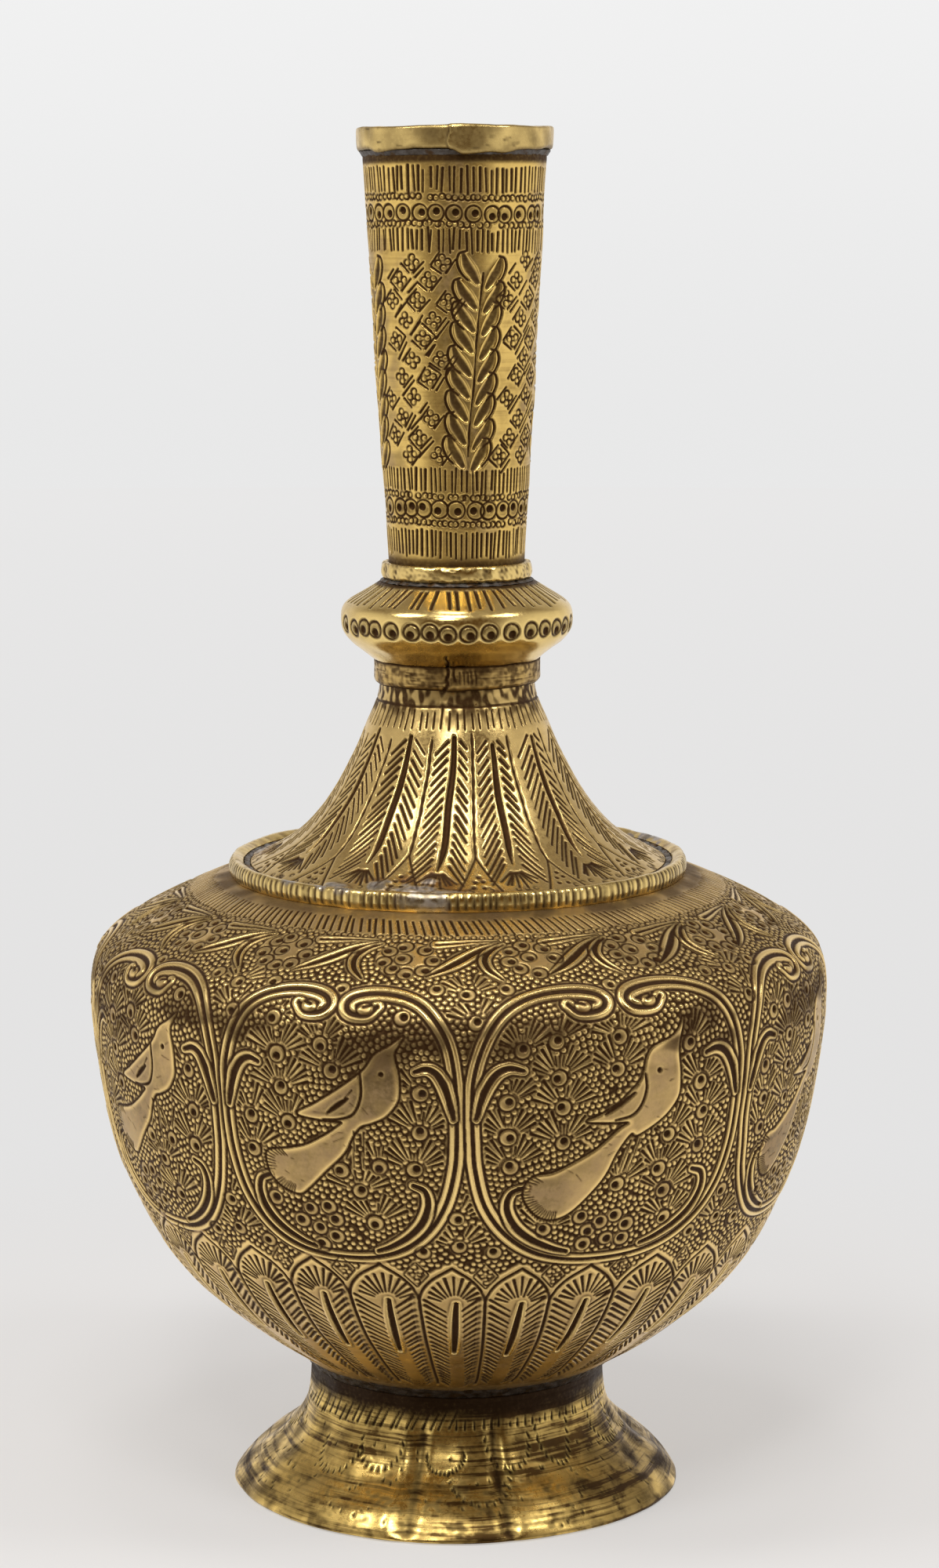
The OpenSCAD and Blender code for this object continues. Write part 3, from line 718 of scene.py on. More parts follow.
def draw_bell():
    cv = Canvas(BELL, 1760, 0.15, 12)
    rng = cv.rng
    n = 72
    th = np.arange(n) * 360 / n + rng.normal(0, 0.35, n)
    cv.chisel(np.stack([th, 4.3 + rng.normal(0, 0.3, n)], 1), np.stack([th + rng.normal(0, 0.3, n), 8.7 + rng.normal(0, 0.2, n)], 1),
              w=0.26, depth=0.26, k=0.0, dark=0.6)
    ringline = np.stack([np.linspace(-180, 180, 181), 3.5 + 0.08 * np.sin(np.linspace(0, 50, 181))], 1)
    cv.trace(ringline[:91], [0, 0.18, 0.35], [-0.22, -0.12, 0], raw=True)
    cv.trace(ringline[90:], [0, 0.18, 0.35], [-0.22, -0.12, 0], raw=True)
    groove = [(-57, -60.5), (-28.9, -31.0), (-1.6, -6.0), (21.0, 18.6), (51, 46)]
    div = [(-43.5, -45.5), (-15.0, -17.5), (8.8, 6.0), (31.0, 31.5), (60.7, 59.5)]
    for k in range(1, 9):
        g = 51 + (360 - 108) / 9 * k
        groove.append((g + rng.uniform(-1.5, 1.5), g - 2.5 + rng.uniform(-1.5, 1.5)))
        div.append((g + 14 + rng.uniform(-1, 1), g + 13 + rng.uniform(-1, 1)))
    m = len(groove)
    at = lambda ends, s: ends[0] + (ends[1] - ends[0]) * (s - 10) / 31
    for i in range(m):
        g = groove[i]
        dl, dr = div[i - 1], div[i]
        if i == 0:
            dl = (dl[0] - 360, dl[1] - 360)
        s0, s1 = 10.6 + rng.uniform(-1.2, 2.0), 41.3 + rng.uniform(-1, 1)
        S = np.linspace(s0, s1, 9)
        cv.trace([(at(g, s) + 0.35 * math.sin(s * 0.35 + i), s) for s in S], [0, 0.38, 0.62, 0.85, 1.15], [-0.55, -0.5, -0.1, 0.05, 0], n=3,
                 taper=lambda t: np.clip(0.75 + 1.1 * t, 0, 1.15) * np.clip((1 - t) * 4.5 + 0.22, 0, 1), dark=1.0)
        S = np.linspace(9.5 + rng.uniform(0, 2), 38 + rng.uniform(-1, 2.5), 9)
        cv.trace([(at(dr, s) + rng.uniform(-0.25, 0.25), s) for s in S], [0, 0.15, 0.32, 0.45], [-0.3, -0.26, -0.06, 0], n=3, dark=0.9,
                 taper=lambda t: 0.8 + 0.5 * np.sin(t * 29) ** 2)
        # it forks at the foot into a small triangle with drop punches
        f = S[-1]
        tf = at(dr, f)
        rf = cv.radius(f + 6)
        for sg in (-1, 1):
            cv.trace([(tf, f), (tf + sg * math.degrees(1.7 / rf), f + 4), (tf + sg * math.degrees(4.3 / rf), min(f + 11, 50.3))],
                     [0, 0.13, 0.3, 0.42], [-0.28, -0.22, -0.05, 0], n=4, dark=0.8)
        q = math.degrees(0.8 / rf)
        cv.stamp(np.array([tf - q, tf + q, tf - q * 1.5, tf + q * 1.1, tf]), np.array([46.1, 45.9, 47.9, 48.1, 44.4]), 1.6, pit_mark, (0.62, 0.32), dark=1.0)
        # herringbone
        A, B = [], []
        for s in np.arange(10.8, 41.5, 2.12):
            for sg, dv in ((-1, dl), (1, dr)):
                s_ = s + rng.uniform(-0.3, 0.3)
                r = cv.radius(s_)
                room = np.radians(abs(at(dv, min(s_ + 3, 41)) - at(g, s_))) * r
                x0 = 1.05 + 0.03 * (s - 10)
                x1 = min(room - 0.75, x0 + 4.6)
                if x1 - x0 < 1.2:
                    continue
                drop = (x1 - x0) * (0.95 + 0.02 * (s - 10)) + 0.5
                A.append((at(g, s_) + sg * math.degrees(x0 / r), s_))
                r2 = cv.radius(min(s_ + drop, 50))
                B.append((at(g, min(s_ + drop, 46)) + sg * math.degrees(x1 / r2), min(s_ + drop, 47.5)))
        for a in np.radians(np.linspace(-40, 40, 8) + rng.uniform(-3, 3, 8)):
            t, r = at(g, 42.0), cv.radius(45)
            L = 6.2 - 2.0 * abs(a) + rng.uniform(-0.6, 0.6)
            A.append((t + math.degrees(1.6 * math.sin(a) / r), 42.6 + 0.3 * math.cos(a)))
            B.append((t + math.degrees((1.6 + L) * math.sin(a) / r), 42.6 + L * math.cos(a)))
        A, B = np.array(A), np.array(B)
        cv.chisel((A + B) / 2 + (A - B) / 2, B, w=0.5 * rng.uniform(0.75, 1.15, len(A)), depth=0.36 * rng.uniform(0.8, 1.1, len(A)), k=0.3, dark=0.6)
    n = 210
    th, s = rng.uniform(0, 360, n), rng.uniform(48.4, 50.4, n)
    free = ~cv.blocked(th, s)
    cv.rings(th[free], s[free], r=0.5, depth=0.22, w=0.16)
    # grey solder and brown stains over the skirt at the front left
    ang = (np.degrees(np.arange(cv.cols) * cv.dt) + 180) % 360 - 180
    edge = ripple(cv, 5.0, 50, 5) * 0.45 + ripple(cv, 1.6, 50, 6) * 0.2
    A, S = np.meshgrid(ang, cv.sv)
    spots = [(-12, 48.4, 9.5, 2.1), (-24, 48.8, 5.0, 1.5), (-36, 49.3, 4.5, 1.2), (-2, 49.8, 12, 0.9), (-9, 46.2, 3.0, 1.2), (-20, 46.4, 2.0, 1.0), (120, 49, 9, 1.6), (203, 48.5, 12, 2), (262, 49, 6, 1.5)]
    for a, s, wa, ws in spots:
        da = (A - a + 180) % 360 - 180
        v = 1 - np.hypot(da / wa, (S - s) / ws) + edge * 0.5
        cv.grey = np.maximum(cv.grey, smooth01(v / 0.25))
        v = 1.25 - np.hypot((da - 3) / (wa * 1.25), (S - s + 0.6) / (ws * 1.9)) + edge * 0.8
        cv.rust = np.maximum(cv.rust, 0.9 * smooth01(v / 0.7))
    cv.rust *= 1 - 0.85 * cv.grey
    cv.cut = cv.cut * (1 - 0.9 * cv.grey)
    cv.base += 0.22 * blur(cv.grey, 2) * (1 + 0.5 * edge)
    # darker towards the top of the bell, under the ferrule, in streaks
    darkening = 0.5 + 0.5 * ripple(cv, 3.5, 40, 7) + 0.35 * np.sin(np.radians(A) * 7 + 0.6)
    cv.dark = np.maximum(cv.dark, (smooth01((9.5 - S) / 7) * np.clip(darkening, 0.1, 0.85)).astype(np.float32))
    return cv


def draw_neck():
    cv = Canvas(NECK, 960, 0.13, 13)
    rng = cv.rng
    top = 5.6  # the field starts under the rim band; what follows counts from the top of the bare neck
    wob = lambda th: 0.35 * np.sin(np.radians(th) * 1.0 + 0.7) + 0.15 * np.sin(np.radians(th) * 3.0)

    def dashes(n, s0, s1, w=0.3, gap=0.0):
        th = np.arange(n) * 360 / n + rng.normal(0, 0.45, n)
        keep = rng.uniform(0, 1, n) >= gap
        th = th[keep]
        k = len(th)
        cv.chisel(np.stack([th, top + s0 + wob(th) + rng.normal(0, 0.25, k)], 1), np.stack([th + rng.normal(0, 0.5, k), top + s1 + wob(th) + rng.normal(0, 0.3, k)], 1),
                  w=(w + 0.05) * rng.uniform(0.75, 1.3, k), depth=0.3 * rng.uniform(0.75, 1.15, k), k=0.15, dark=1.0)

    def small(n, s):
        th = np.arange(n) * 360 / n + rng.normal(0, 0.6, n)
        keep = rng.uniform(0, 1, n) > 0.05
        th = th[keep]
        cv.rings(th, top + s + wob(th) + rng.normal(0, 0.12, len(th)), r=0.62, depth=0.34, w=0.2, dark=0.9)

    dashes(95, 1.4, 7.0)
    small(92, 7.9)
    n = 31
    th = np.arange(n) * 360 / n + rng.normal(0, 0.9, n)
    cv.eyes(th, top + 11.3 + wob(th), r=1.75, depth=0.42, off=0.45, rp=0.9, dark=rng.uniform(0.6, 1, n), solid=True)
    small(92, 13.6)
    dashes(100, 14.4, 19.4, w=0.26)
    # four palms, 90 degrees apart, that lean a little
    palm = lambda s: 18.9 - 10.2 * (s - 22) / 42
    for q in range(4):
        off = 90.0 * q + (0 if q == 0 else rng.uniform(-1.5, 1.5))
        stem = [(off + palm(s) + 0.5 * math.sin(s * 0.3), top + s) for s in (24, 32, 40, 48, 56, 63)]
        cv.trace(stem, [0, 0.14, 0.3, 0.42], [-0.26, -0.2, -0.04, 0], n=4, dark=0.8, taper=lambda t: 0.8 + 0.3 * np.sin(t * 23))
        for k in range(9):
            for sg in (-1, 1):
                s = 24.2 + 4.85 * k + (0.9 if sg > 0 else 0) + rng.uniform(-0.3, 0.3)
                R = cv.radius(top + s)
                t = off + palm(s)
                ang = math.radians(29 + rng.uniform(-5, 5))
                ux, uy = sg * math.sin(ang), -math.cos(ang)
                foot_x, foot_s = 1.1, s + 2.1
                P = lambda a, b: (t + math.degrees((sg * foot_x + a * ux + b * (-uy) * sg) / R), top + foot_s + a * uy + b * abs(ux))
                # gouge, wide in its middle, with a sharp wall towards the stem
                cv.trace([P(0.1, 0), P(2.1, 0.2), P(4.4, 0.35), P(6.6, 0.0)], [0, 0.46, 0.95, 1.3, 1.7], [-0.44, -0.36, -0.04, 0.16, 0], n=4,
                         taper=lambda u: 0.3 + 0.8 * np.sin(np.pi * np.clip(0.08 + 0.86 * u, 0, 1)) ** 0.8, dark=0.22, clean=0.38)
                cv.trace([P(1.5, 1.6), P(3.5, 2.2), P(5.9, 1.95), P(7.3, 0.7), P(7.1, -0.7)], [0, 0.16, 0.32, 0.46], [-0.32, -0.26, -0.05, 0], n=4, dark=1.0)
    # a lattice of tilted squares of small rings between them
    row = 0
    for s in np.arange(21.4, 64.5, 4.15):
        R = cv.radius(top + s)
        step = math.degrees(6.9 / R)
        count = int(round(360 / step))
        for k in range(count):
            t = 360.0 / count * (k + 0.5 * (row % 2)) + s * 0.55
            gap = min(abs((t - (90 * q + palm(s)) + 180) % 360 - 180) for q in range(4))
            if math.radians(gap) * R < 6.3:
                continue
            t += rng.uniform(-1.4, 1.4)
            s_ = top + s + rng.uniform(-0.4, 0.4)
            tilt = math.radians(-50 + rng.uniform(-7, 7))
            c, sn = math.cos(tilt), math.sin(tilt)
            Q = lambda x, y: (t + math.degrees((x * c - y * sn) / R), s_ + x * sn + y * c)
            # two long sides along the row, a short one at an end or two, and four small rings within
            hx, hy = 2.1, 1.85
            sides = [((-hx, -hy), (hx - 0.3, -hy)), ((-hx + 0.4, hy), (hx + 0.3, hy + 0.05)), ((-hx - 0.05, -hy), (-hx, hy - 0.5)), ((hx + 0.1, -hy + 0.3), (hx + 0.1, hy))]
            keep = [rng.uniform() < q for q in (0.5, 0.85, 0.6, 0.3)]
            sides = [v for v, q in zip(sides, keep) if q]
            if rng.uniform() < 0.6:
                a = rng.uniform(-3.4, -1.2)
                sides.append(((a, hy + 0.95), (a + rng.uniform(3.2, 5.6), hy + 0.95)))
            if rng.uniform() < 0.3:
                a = rng.uniform(-2.6, 0.2)
                sides.append(((a, -hy - 0.85), (a + rng.uniform(2.2, 3.8), -hy - 0.85)))
            if sides:
                cv.chisel([Q(*v[0]) for v in sides], [Q(*v[1]) for v in sides], w=0.36, depth=0.34, k=0.3, dark=1.0)
            pts = [Q(x + rng.uniform(-0.1, 0.1), y + rng.uniform(-0.1, 0.1)) for x in (-0.8, 0.72) for y in (-0.74, 0.74)]
            pts = np.array(pts)
            cv.rings(pts[:, 0], pts[:, 1], r=0.68, depth=0.34, w=0.19, dark=1.0)
        row += 1
    dashes(90, 65.4, 70.6, w=0.26)
    small(84, 71.5)
    n = 27
    th = np.arange(n) * 360 / n + rng.normal(0, 1.1, n)
    cv.eyes(th, top + 74.3 + wob(th), r=1.9, depth=0.44, off=0.5, rp=0.95, dark=rng.uniform(0.6, 1, n), solid=True)
    small(80, 77.2)
    dashes(86, 78.8, 84.6, w=0.27)
    A, S = np.meshgrid(np.degrees(np.arange(cv.cols) * cv.dt), cv.sv)
    cv.dark = np.maximum(cv.dark, 0.75 * smooth01((S - top - 84.0) / 2.6))
    cv.dark = np.maximum(cv.dark, 0.8 * smooth01((top + 1.3 - S) / 1.2))
    # hand-rolled sheet: long shallow flats, and upright clouds where the colour turns darker and duller
    cv.base += 0.09 * ripple(cv, 26, 24, 8)
    cloud = 0.5 + 0.45 * np.sin(np.radians(A) * 5 + 0.9 + 0.5 * np.sin(S * 0.06)) * (0.6 + 0.4 * np.sin(np.radians(A) * 2 + 1)) + 0.22 * ripple(cv, 7, 50, 81)
    cv.grey = np.maximum(cv.grey, (0.75 * smooth01((cloud - 0.35) / 0.6)).astype(np.float32))
    return cv


def draw_foot():
    cv = Canvas(FOOT, 1520, 0.2, 14)
    rng = cv.rng
    A0 = (np.degrees(np.arange(cv.cols) * cv.dt) + 180) % 360 - 180
    A, S = np.meshgrid(A0, cv.sv)
    # folds left by raising the sheet over a stake
    for a, w, d in [(-18.5, 3.0, 0.5), (-12.5, 2.2, -0.55), (1.0, 7.5, 0.35), (13.5, 2.2, -0.65), (19, 5, 0.25), (-64, 6, 0.3), (-40, 7, 0.25), (38, 6, -0.25), (62, 7, 0.3),
                    (95, 5, -0.4), (121, 7, 0.4), (152, 5, -0.4), (178, 6, 0.45), (-150, 5, -0.45), (-124, 7, 0.35), (-97, 5, -0.35)]:
        da = (A - a + 180) % 360 - 180
        cv.base += (1.1 * d * np.exp(-(da / w) ** 2) * smooth01((S - 2) / 6) * smooth01((cv.S + 1 - S) / 4)).astype(np.float32)
    cv.base += 0.09 * ripple(cv, 14, 40, 21) + 0.012 * ripple(cv, 5, 60, 22)
    # lathe and file lines round the foot
    lines = np.interp(cv.sv, np.arange(0, cv.S + 1, 0.35), rng.normal(0, 1, len(np.arange(0, cv.S + 1, 0.35))))
    cv.base += (0.004 * lines[:, None] * (0.6 + 0.4 * np.sin(np.radians(A) * 5 + S * 0.2))).astype(np.float32)
    n = 108
    th = np.arange(n) * 360 / n + rng.normal(0, 0.5, n)
    dth = (th + 180) % 360 - 180
    slant = np.where((dth > -110) & (dth < -2), 3.6, 0.2)
    length = np.where((dth > -70) & (dth < -2), 4.4, 2.2) + rng.normal(0, 0.3, n)
    base = 7.3 + rng.normal(0, 0.2, n) + np.where(dth < 0, 0.9, 0) * np.clip(-dth / 60, 0, 1)
    cv.chisel(np.stack([th, base], 1), np.stack([th + slant, base - length], 1), w=0.36, depth=0.26, k=0.55, dark=0.8)

    def arc_of_wedges(t0, t1, s_top, s_bot, n=15):
        c, h = 0.5 * (t0 + t1), 0.5 * (t1 - t0)
        P = [(c + h * math.sin(a), s_top + (s_bot - s_top) * math.cos(a)) for a in np.linspace(-1.5, 1.5, n)]
        tip = [(t + 0.12 * (c - t), s - 1.5) for t, s in P]
        cv.chisel(P, tip, w=0.36, depth=0.3, k=0.75, dark=1.0)

    for t0, t1, a, b in [(10, 28, 9.5, 17), (30.5, 46, 8, 17.5), (-37, -19, 11, 17.8), (-3, 18, 17, 25.5), (-11, 3, 13, 17.6), (-54, -35, 13, 20.8), (58, 74, 9, 17), (76, 92, 10, 17),
                         (104, 122, 9, 16.5), (126, 142, 9, 17), (150, 168, 10, 17), (172, 190, 9, 17), (198, 214, 9, 17), (219, 236, 10, 17), (243, 260, 9, 17), (264, 282, 9, 17)]:
        arc_of_wedges(t0, t1, a, b, n=11 + int(rng.uniform(0, 5)))
    n = 190
    th, s = rng.uniform(-180, 180, n), rng.uniform(11, 32, n)
    cv.chisel(np.stack([th, s], 1), np.stack([th + rng.uniform(-0.6, 1.0, n), s - rng.uniform(0.8, 1.6, n)], 1), w=0.3, depth=0.24, k=0.8, dark=1.0)
    # scratches
    n = 46
    th, s = rng.uniform(-180, 180, n), rng.uniform(7, 31, n)
    cv.chisel(np.stack([th, s], 1), np.stack([th + rng.uniform(2, 9, n), s + rng.uniform(-1.4, 1.4, n)], 1), w=0.12, depth=0.06, k=0.4)
    # painted shadow of the bowl: the top of the foot is darkened, deepest a little right of the front
    cv.dark = np.maximum(cv.dark, smooth01((6.6 - S + 0.35 * ripple(cv, 11, 40, 26) + 0.7 * np.cos(np.radians(A) - 0.5)) / 5.0).astype(np.float32))
    n = 700
    th, s, half = rng.uniform(-180, 180, n), rng.uniform(3, 33.4, n), rng.uniform(1.5, 9, n)
    sag = rng.normal(0, 0.12, n)
    cv.chisel(np.stack([th - half, s], 1), np.stack([th, s + sag], 1), w=0.34, depth=0.006, k=0.0, dark=rng.uniform(0.1, 0.55, n))
    cv.chisel(np.stack([th, s + sag], 1), np.stack([th + half, s], 1), w=0.34, depth=0.006, k=0.0, dark=rng.uniform(0.1, 0.55, n))
    # painted shade: the foot is darker towards its left and right sides, with a mottle
    flank = 0.5 - 0.5 * np.cos(2 * np.radians(A) + 0.2)
    cv.dark = np.maximum(cv.dark, (0.36 * flank * (0.5 + 0.5 * ripple(cv, 9, 40, 25)) * smooth01((S - 6) / 5)).astype(np.float32))
    cv.dark = np.maximum(cv.dark, (0.38 * smooth01((ripple(cv, 7, 50, 23) * 0.6 + ripple(cv, 2.4, 60, 24) * 0.45 - 0.35) / 0.9) * smooth01((S - 14) / 8)).astype(np.float32))
    return cv


def draw_knop():
    cv = Canvas(KNOP, 1060, 0.14, 15)
    rng = cv.rng
    n = 56
    th = np.arange(n) * 360 / n + rng.normal(0, 0.8, n)
    cv.chisel(np.stack([th, 0.9 + rng.normal(0, 0.15, n)], 1), np.stack([th + rng.normal(0, 0.9, n), 7.9 + rng.normal(0, 0.4, n)], 1),
              w=0.5, depth=0.46, k=0.2, dark=1.0)
    S_of = lambda z: float(np.interp(-z, -cv.prof[:, 1], cv.arc))
    t = [-73.6, -61.5, -52.2, -44.3, -33.9, -22.7, -13.2, -4.4, 5.6, 16.1, 27.7, 39.4, 49.2, 59.1, 68.6, 79.0]
    x = 90.0
    while x < 276:
        t.append(x)
        x += rng.uniform(9.3, 11.6)
    t = np.array(t)
    cv.eyes(t, S_of(193.2) + rng.normal(0, 0.2, len(t)), r=1.8, depth=0.5, off=0.62, rp=1.05, phi=rng.uniform(0.4, 2.6, len(t)), dark=1.0, solid=True)
    # the lower cone is plain; a split runs up it near the front
    crack = [(-6.4, cv.S), (-5.6, cv.S - 1.6), (-6.6, cv.S - 3.1), (-5.9, cv.S - 4.4)]
    cv.trace(crack, [0, 0.2, 0.42], [-0.5, -0.3, 0], n=4, dark=1.0, taper=lambda u: 1.2 - 0.8 * u)
    A, S = np.meshgrid(np.degrees(np.arange(cv.cols) * cv.dt), cv.sv)
    cv.base += 0.05 * ripple(cv, 11, 40, 31)
    cv.dark = np.maximum(cv.dark, (0.9 * smooth01((1.7 - S) / 1.4)).astype(np.float32))
    return cv


def ring_canvas(prof, cols, step, seed, dent=0.05, scale=6.0):
    cv = Canvas(prof, cols, step, seed)
    cv.base += dent * ripple(cv, scale, 40, seed + 100) + 0.35 * dent * ripple(cv, scale * 0.3, 50, seed + 200)
    return cv


# ---- the small rings: outer profiles, top down
SHOULDER_RING = np.array([(47.4, 140.8), (47.9, 141.2), (49.0, 141.7)] + [(49.5 + 1.1 * math.cos(math.radians(a)), 139.65 + 2.05 * math.sin(math.radians(a))) for a in range(80, -41, -8)] + [(50.0, 137.6)])


def draw_shoulder_ring():
    cv = ring_canvas(SHOULDER_RING, 1100, 0.16, 41, dent=0.05, scale=12)
    rng = cv.rng
    s0 = float(np.interp(0, [0, 1], [1.9, 1.9]))
    n = 187
    th = np.arange(n) * 360 / n + rng.normal(0, 0.14, n)
    th = th[(np.abs((th + 188) % 360 - 180) > 5.0)]
    n = len(th)
    cv.chisel(np.stack([th, 2.7 + rng.normal(0, 0.12, n)], 1), np.stack([th + rng.normal(0, 0.15, n), 6.5 + rng.normal(0, 0.2, n)], 1),
              w=0.3 * rng.uniform(0.75, 1.2, n), depth=0.34, k=-0.1, dark=1.0)
    A, S = np.meshgrid((np.degrees(np.arange(cv.cols) * cv.dt) + 180) % 360 - 180, cv.sv)
    e = ripple(cv, 4, 50, 42) * 0.4
    for a, w in [(-33, 6), (-47, 4), (118, 8), (205, 10)]:
        da = (A - a + 180) % 360 - 180
        cv.grey = np.maximum(cv.grey, smooth01((1 - np.hypot(da / w, (S - 1.2) / 2.6) + e) / 0.3))
    cv.rust = np.maximum(cv.rust, 0.35 * smooth01((e + 0.1) / 0.4) * smooth01((2.6 - S) / 1.5))
    # one place is worn smooth and pale
    cv.grey = np.maximum(cv.grey, 0.8 * smooth01((1.15 - np.hypot((A + 8) / 6.5, (S - 4.6) / 3.2) + 0.5 * e) / 0.3))
    return cv


FERRULE = np.array([(18.25, 185.3), (18.25, 184.2), (18.25, 181.2), (18.15, 180.8), (17.95, 180.5), (17.35, 180.0)])


def draw_ferrule():
    cv = ring_canvas(FERRULE, 760, 0.13, 43, dent=0.05, scale=7)
    rng = cv.rng
    A, S = np.meshgrid((np.degrees(np.arange(cv.cols) * cv.dt) + 180) % 360 - 180, cv.sv)
    # the strip's two ends lap near the front, and its edge there is a dark crooked line
    step = -7.2 + 1.6 * np.sin(S * 1.1) + 0.5 * np.sin(S * 4.3)
    lap = smooth01((A - step) / 0.9) * smooth01((14 - A) / 18)
    cv.base += (0.34 * lap).astype(np.float32)
    cv.trace([(-6.6, 0.0), (-5.6, 1.2), (-7.0, 2.6), (-6.4, 3.8), (-8.6, 5.2)], [0, 0.22, 0.45], [-0.5, -0.3, 0], n=4, dark=1.0)
    cv.trace([(-1.9, 0.0), (-2.4, 1.6), (-1.2, 3.0)], [0, 0.16, 0.35], [-0.34, -0.2, 0], n=4, dark=1.0)
    t = np.array([1.5, 4.2, 7.0, 9.6, 12.6, 100, 104, 221, 226, 230])
    cv.chisel(np.stack([t, 0.9 + 0 * t], 1), np.stack([t + 0.6, 3.9 + 0 * t], 1), w=0.22, depth=0.2, k=0.3, dark=0.8)
    n = 130
    th, s = rng.uniform(-180, 180, n), rng.uniform(0.4, 4.8, n)
    cv.chisel(np.stack([th, s], 1), np.stack([th + rng.uniform(5, 26, n), s + rng.normal(0, 0.1, n)], 1), w=0.11, depth=0.07, k=0.4, dark=0.35)
    # painted shade in the creases where the ferrule meets the knop and the bell
    cv.dark = np.maximum(cv.dark, np.maximum(0.9 * smooth01((0.7 - S) / 0.6), 0.9 * smooth01((S - 4.7) / 0.7)).astype(np.float32))
    cv.dark = np.maximum(cv.dark, (0.55 * smooth01((ripple(cv, 5, 50, 44) * 0.6 + ripple(cv, 1.6, 50, 45) * 0.4) / 0.8)).astype(np.float32))
    return cv
# ==== relief end


# ---- Shells: a chased outer skin, closed with the sheet's edges and its plain inner side
def unit_rows(prof, arc, s):
    """Radius, height and outward normal of a profile at the distances s."""
    r, z = np.interp(s, arc, prof[:, 0]), np.interp(s, arc, prof[:, 1])
    e = 0.25
    r0, r1 = np.interp(s - e, arc, prof[:, 0]), np.interp(s + e, arc, prof[:, 0])
    z0, z1 = np.interp(s - e, arc, prof[:, 1]), np.interp(s + e, arc, prof[:, 1])
    n = np.hypot(r1 - r0, z1 - z0)
    return r, z, -(z1 - z0) / n, (r1 - r0) / n


def settle(th, r, z):
    """The small faults of hand work, the same for every piece, so that they still meet: a slight lean, and rounds that aren't quite round."""
    up = np.clip((z - 1.5) / 30, 0, 1)
    k = 1 + up * (0.0020 * np.cos(2 * th + 0.6) + 0.0012 * np.cos(3 * th + 1.9))
    x, y = r * k * np.sin(th), -r * k * np.cos(th)
    x = x + np.interp(z, [0, 22, 28, 34, 44, 58, 72, 110, 190, 300], [0, 0.0, 0.3, 1.15, 1.1, 0.75, 0.4, 0.4, 0.15, -0.3])
    y = y + np.interp(z, [0, 150, 300], [0, 0.0, 0.2])
    z = z + 0.22 * smooth01((z - 140) / 160) * np.sin(th + 0.9) + 0.25 * smooth01((z - 60) / 60) * np.cos(th - 2.4) * smooth01((220 - z) / 60)
    return x, y, z


LAYERS = ("recess", "wear_and_highlight", "rust", "dull")


def canvas_rings(cv, rows, tweak=None, gain=1.0, sink=0.0, every=2):
    """Rings of vertices from a canvas: every second column, and the given rows."""
    H = cv.height() * gain
    lo = blur(H, max(1, int(0.7 / cv.ds)))
    wide = blur(H, max(1, int(1.8 / cv.ds)))
    # the recess layer: hollows found from the height, and wherever the dark layer is set; the material darkens these as
    # patina and as painted shade
    deep = np.clip(-cv.cut / 0.22, 0, 1)
    recess = np.clip(0.85 * np.clip((lo - H) / 0.09, 0, 1) + 0.25 * np.clip((wide - H) / 0.2, 0, 1) + 0.5 * deep, 0, 1)
    recess = np.maximum(recess * (1 - cv.clean), 0.95 * cv.dark)
    # raised edges, which lose tarnish as wear and are painted brighter as a highlight
    wear_and_highlight = np.clip((H - lo - 0.005) / 0.12, 0, 1)
    maps = [H, recess, wear_and_highlight, np.clip(cv.rust, 0, 1), np.clip(cv.grey, 0, 1)]
    out = []
    for M in maps:
        M = 0.5 * M + 0.25 * (np.roll(M, 1, 1) + np.roll(M, -1, 1))
        up, dn = np.vstack([M[:1], M[:-1]]), np.vstack([M[1:], M[-1:]])
        M = 0.5 * M + 0.25 * (up + dn)
        out.append(M[rows][:, ::every])
    s = cv.sv[rows]
    r, z, nr, nz = unit_rows(cv.prof, cv.arc, s)
    n = cv.cols // every
    th = np.arange(n) * TAU / n
    R = r[:, None] + nr[:, None] * (out[0] - sink)
    Z = z[:, None] + nz[:, None] * (out[0] - sink)
    T = np.repeat(th[None, :], len(rows), 0)
    if tweak is not None:
        R, Z = tweak(T, R, Z, s[:, None])
    rings = []
    for j in range(len(rows)):
        rings.append(dict(n=n, th=th, r=R[j], z=Z[j], att=np.stack([m[j] for m in out[1:]], 1), s=s[j], outer=True))
    return rings


def plain_rings(points, n, att=(0.25, 0.0, 0.15, 0.3), noise=0.0, seed=0):
    """Plain rings at (radius, height) points, with n vertices each."""
    rings = []
    rng = np.random.RandomState(900 + seed)
    at = 0.0
    last = None
    for r, z in points:
        if last is not None:
            at += math.hypot(r - last[0], z - last[1])
        last = (r, z)
        k = 1 if r <= 1e-6 else n
        th = np.arange(k) * TAU / k
        rr, zz = np.full(k, float(r)), np.full(k, float(z))
        if noise and k > 1:
            w = sum(rng.normal(0, 1) * np.cos(m * th + rng.uniform(0, TAU)) for m in (3, 5, 8, 13, 21)) * noise / 2.2
            rr = rr + w
        rings.append(dict(n=k, th=th, r=rr, z=zz, att=np.tile(np.array(att, float), (k, 1)), s=at, outer=False))
    return rings


def dense(points, step=2.0):
    """Points along a polyline, no further apart than step."""
    out = [points[0]]
    for a, b in zip(points[:-1], points[1:]):
        m = max(1, int(math.ceil(math.hypot(b[0] - a[0], b[1] - a[1]) / step)))
        out += [(a[0] + (b[0] - a[0]) * k / m, a[1] + (b[1] - a[1]) * k / m) for k in range(1, m + 1)]
    return out


def inward(prof, w=1.2):
    """The profile moved w into the sheet."""
    arc = np.concatenate([[0], np.cumsum(np.hypot(*np.diff(prof, axis=0).T))])
    r, z, nr, nz = unit_rows(prof, arc, arc)
    return np.stack([np.maximum(0, r - w * nr), z - w * nz], 1)


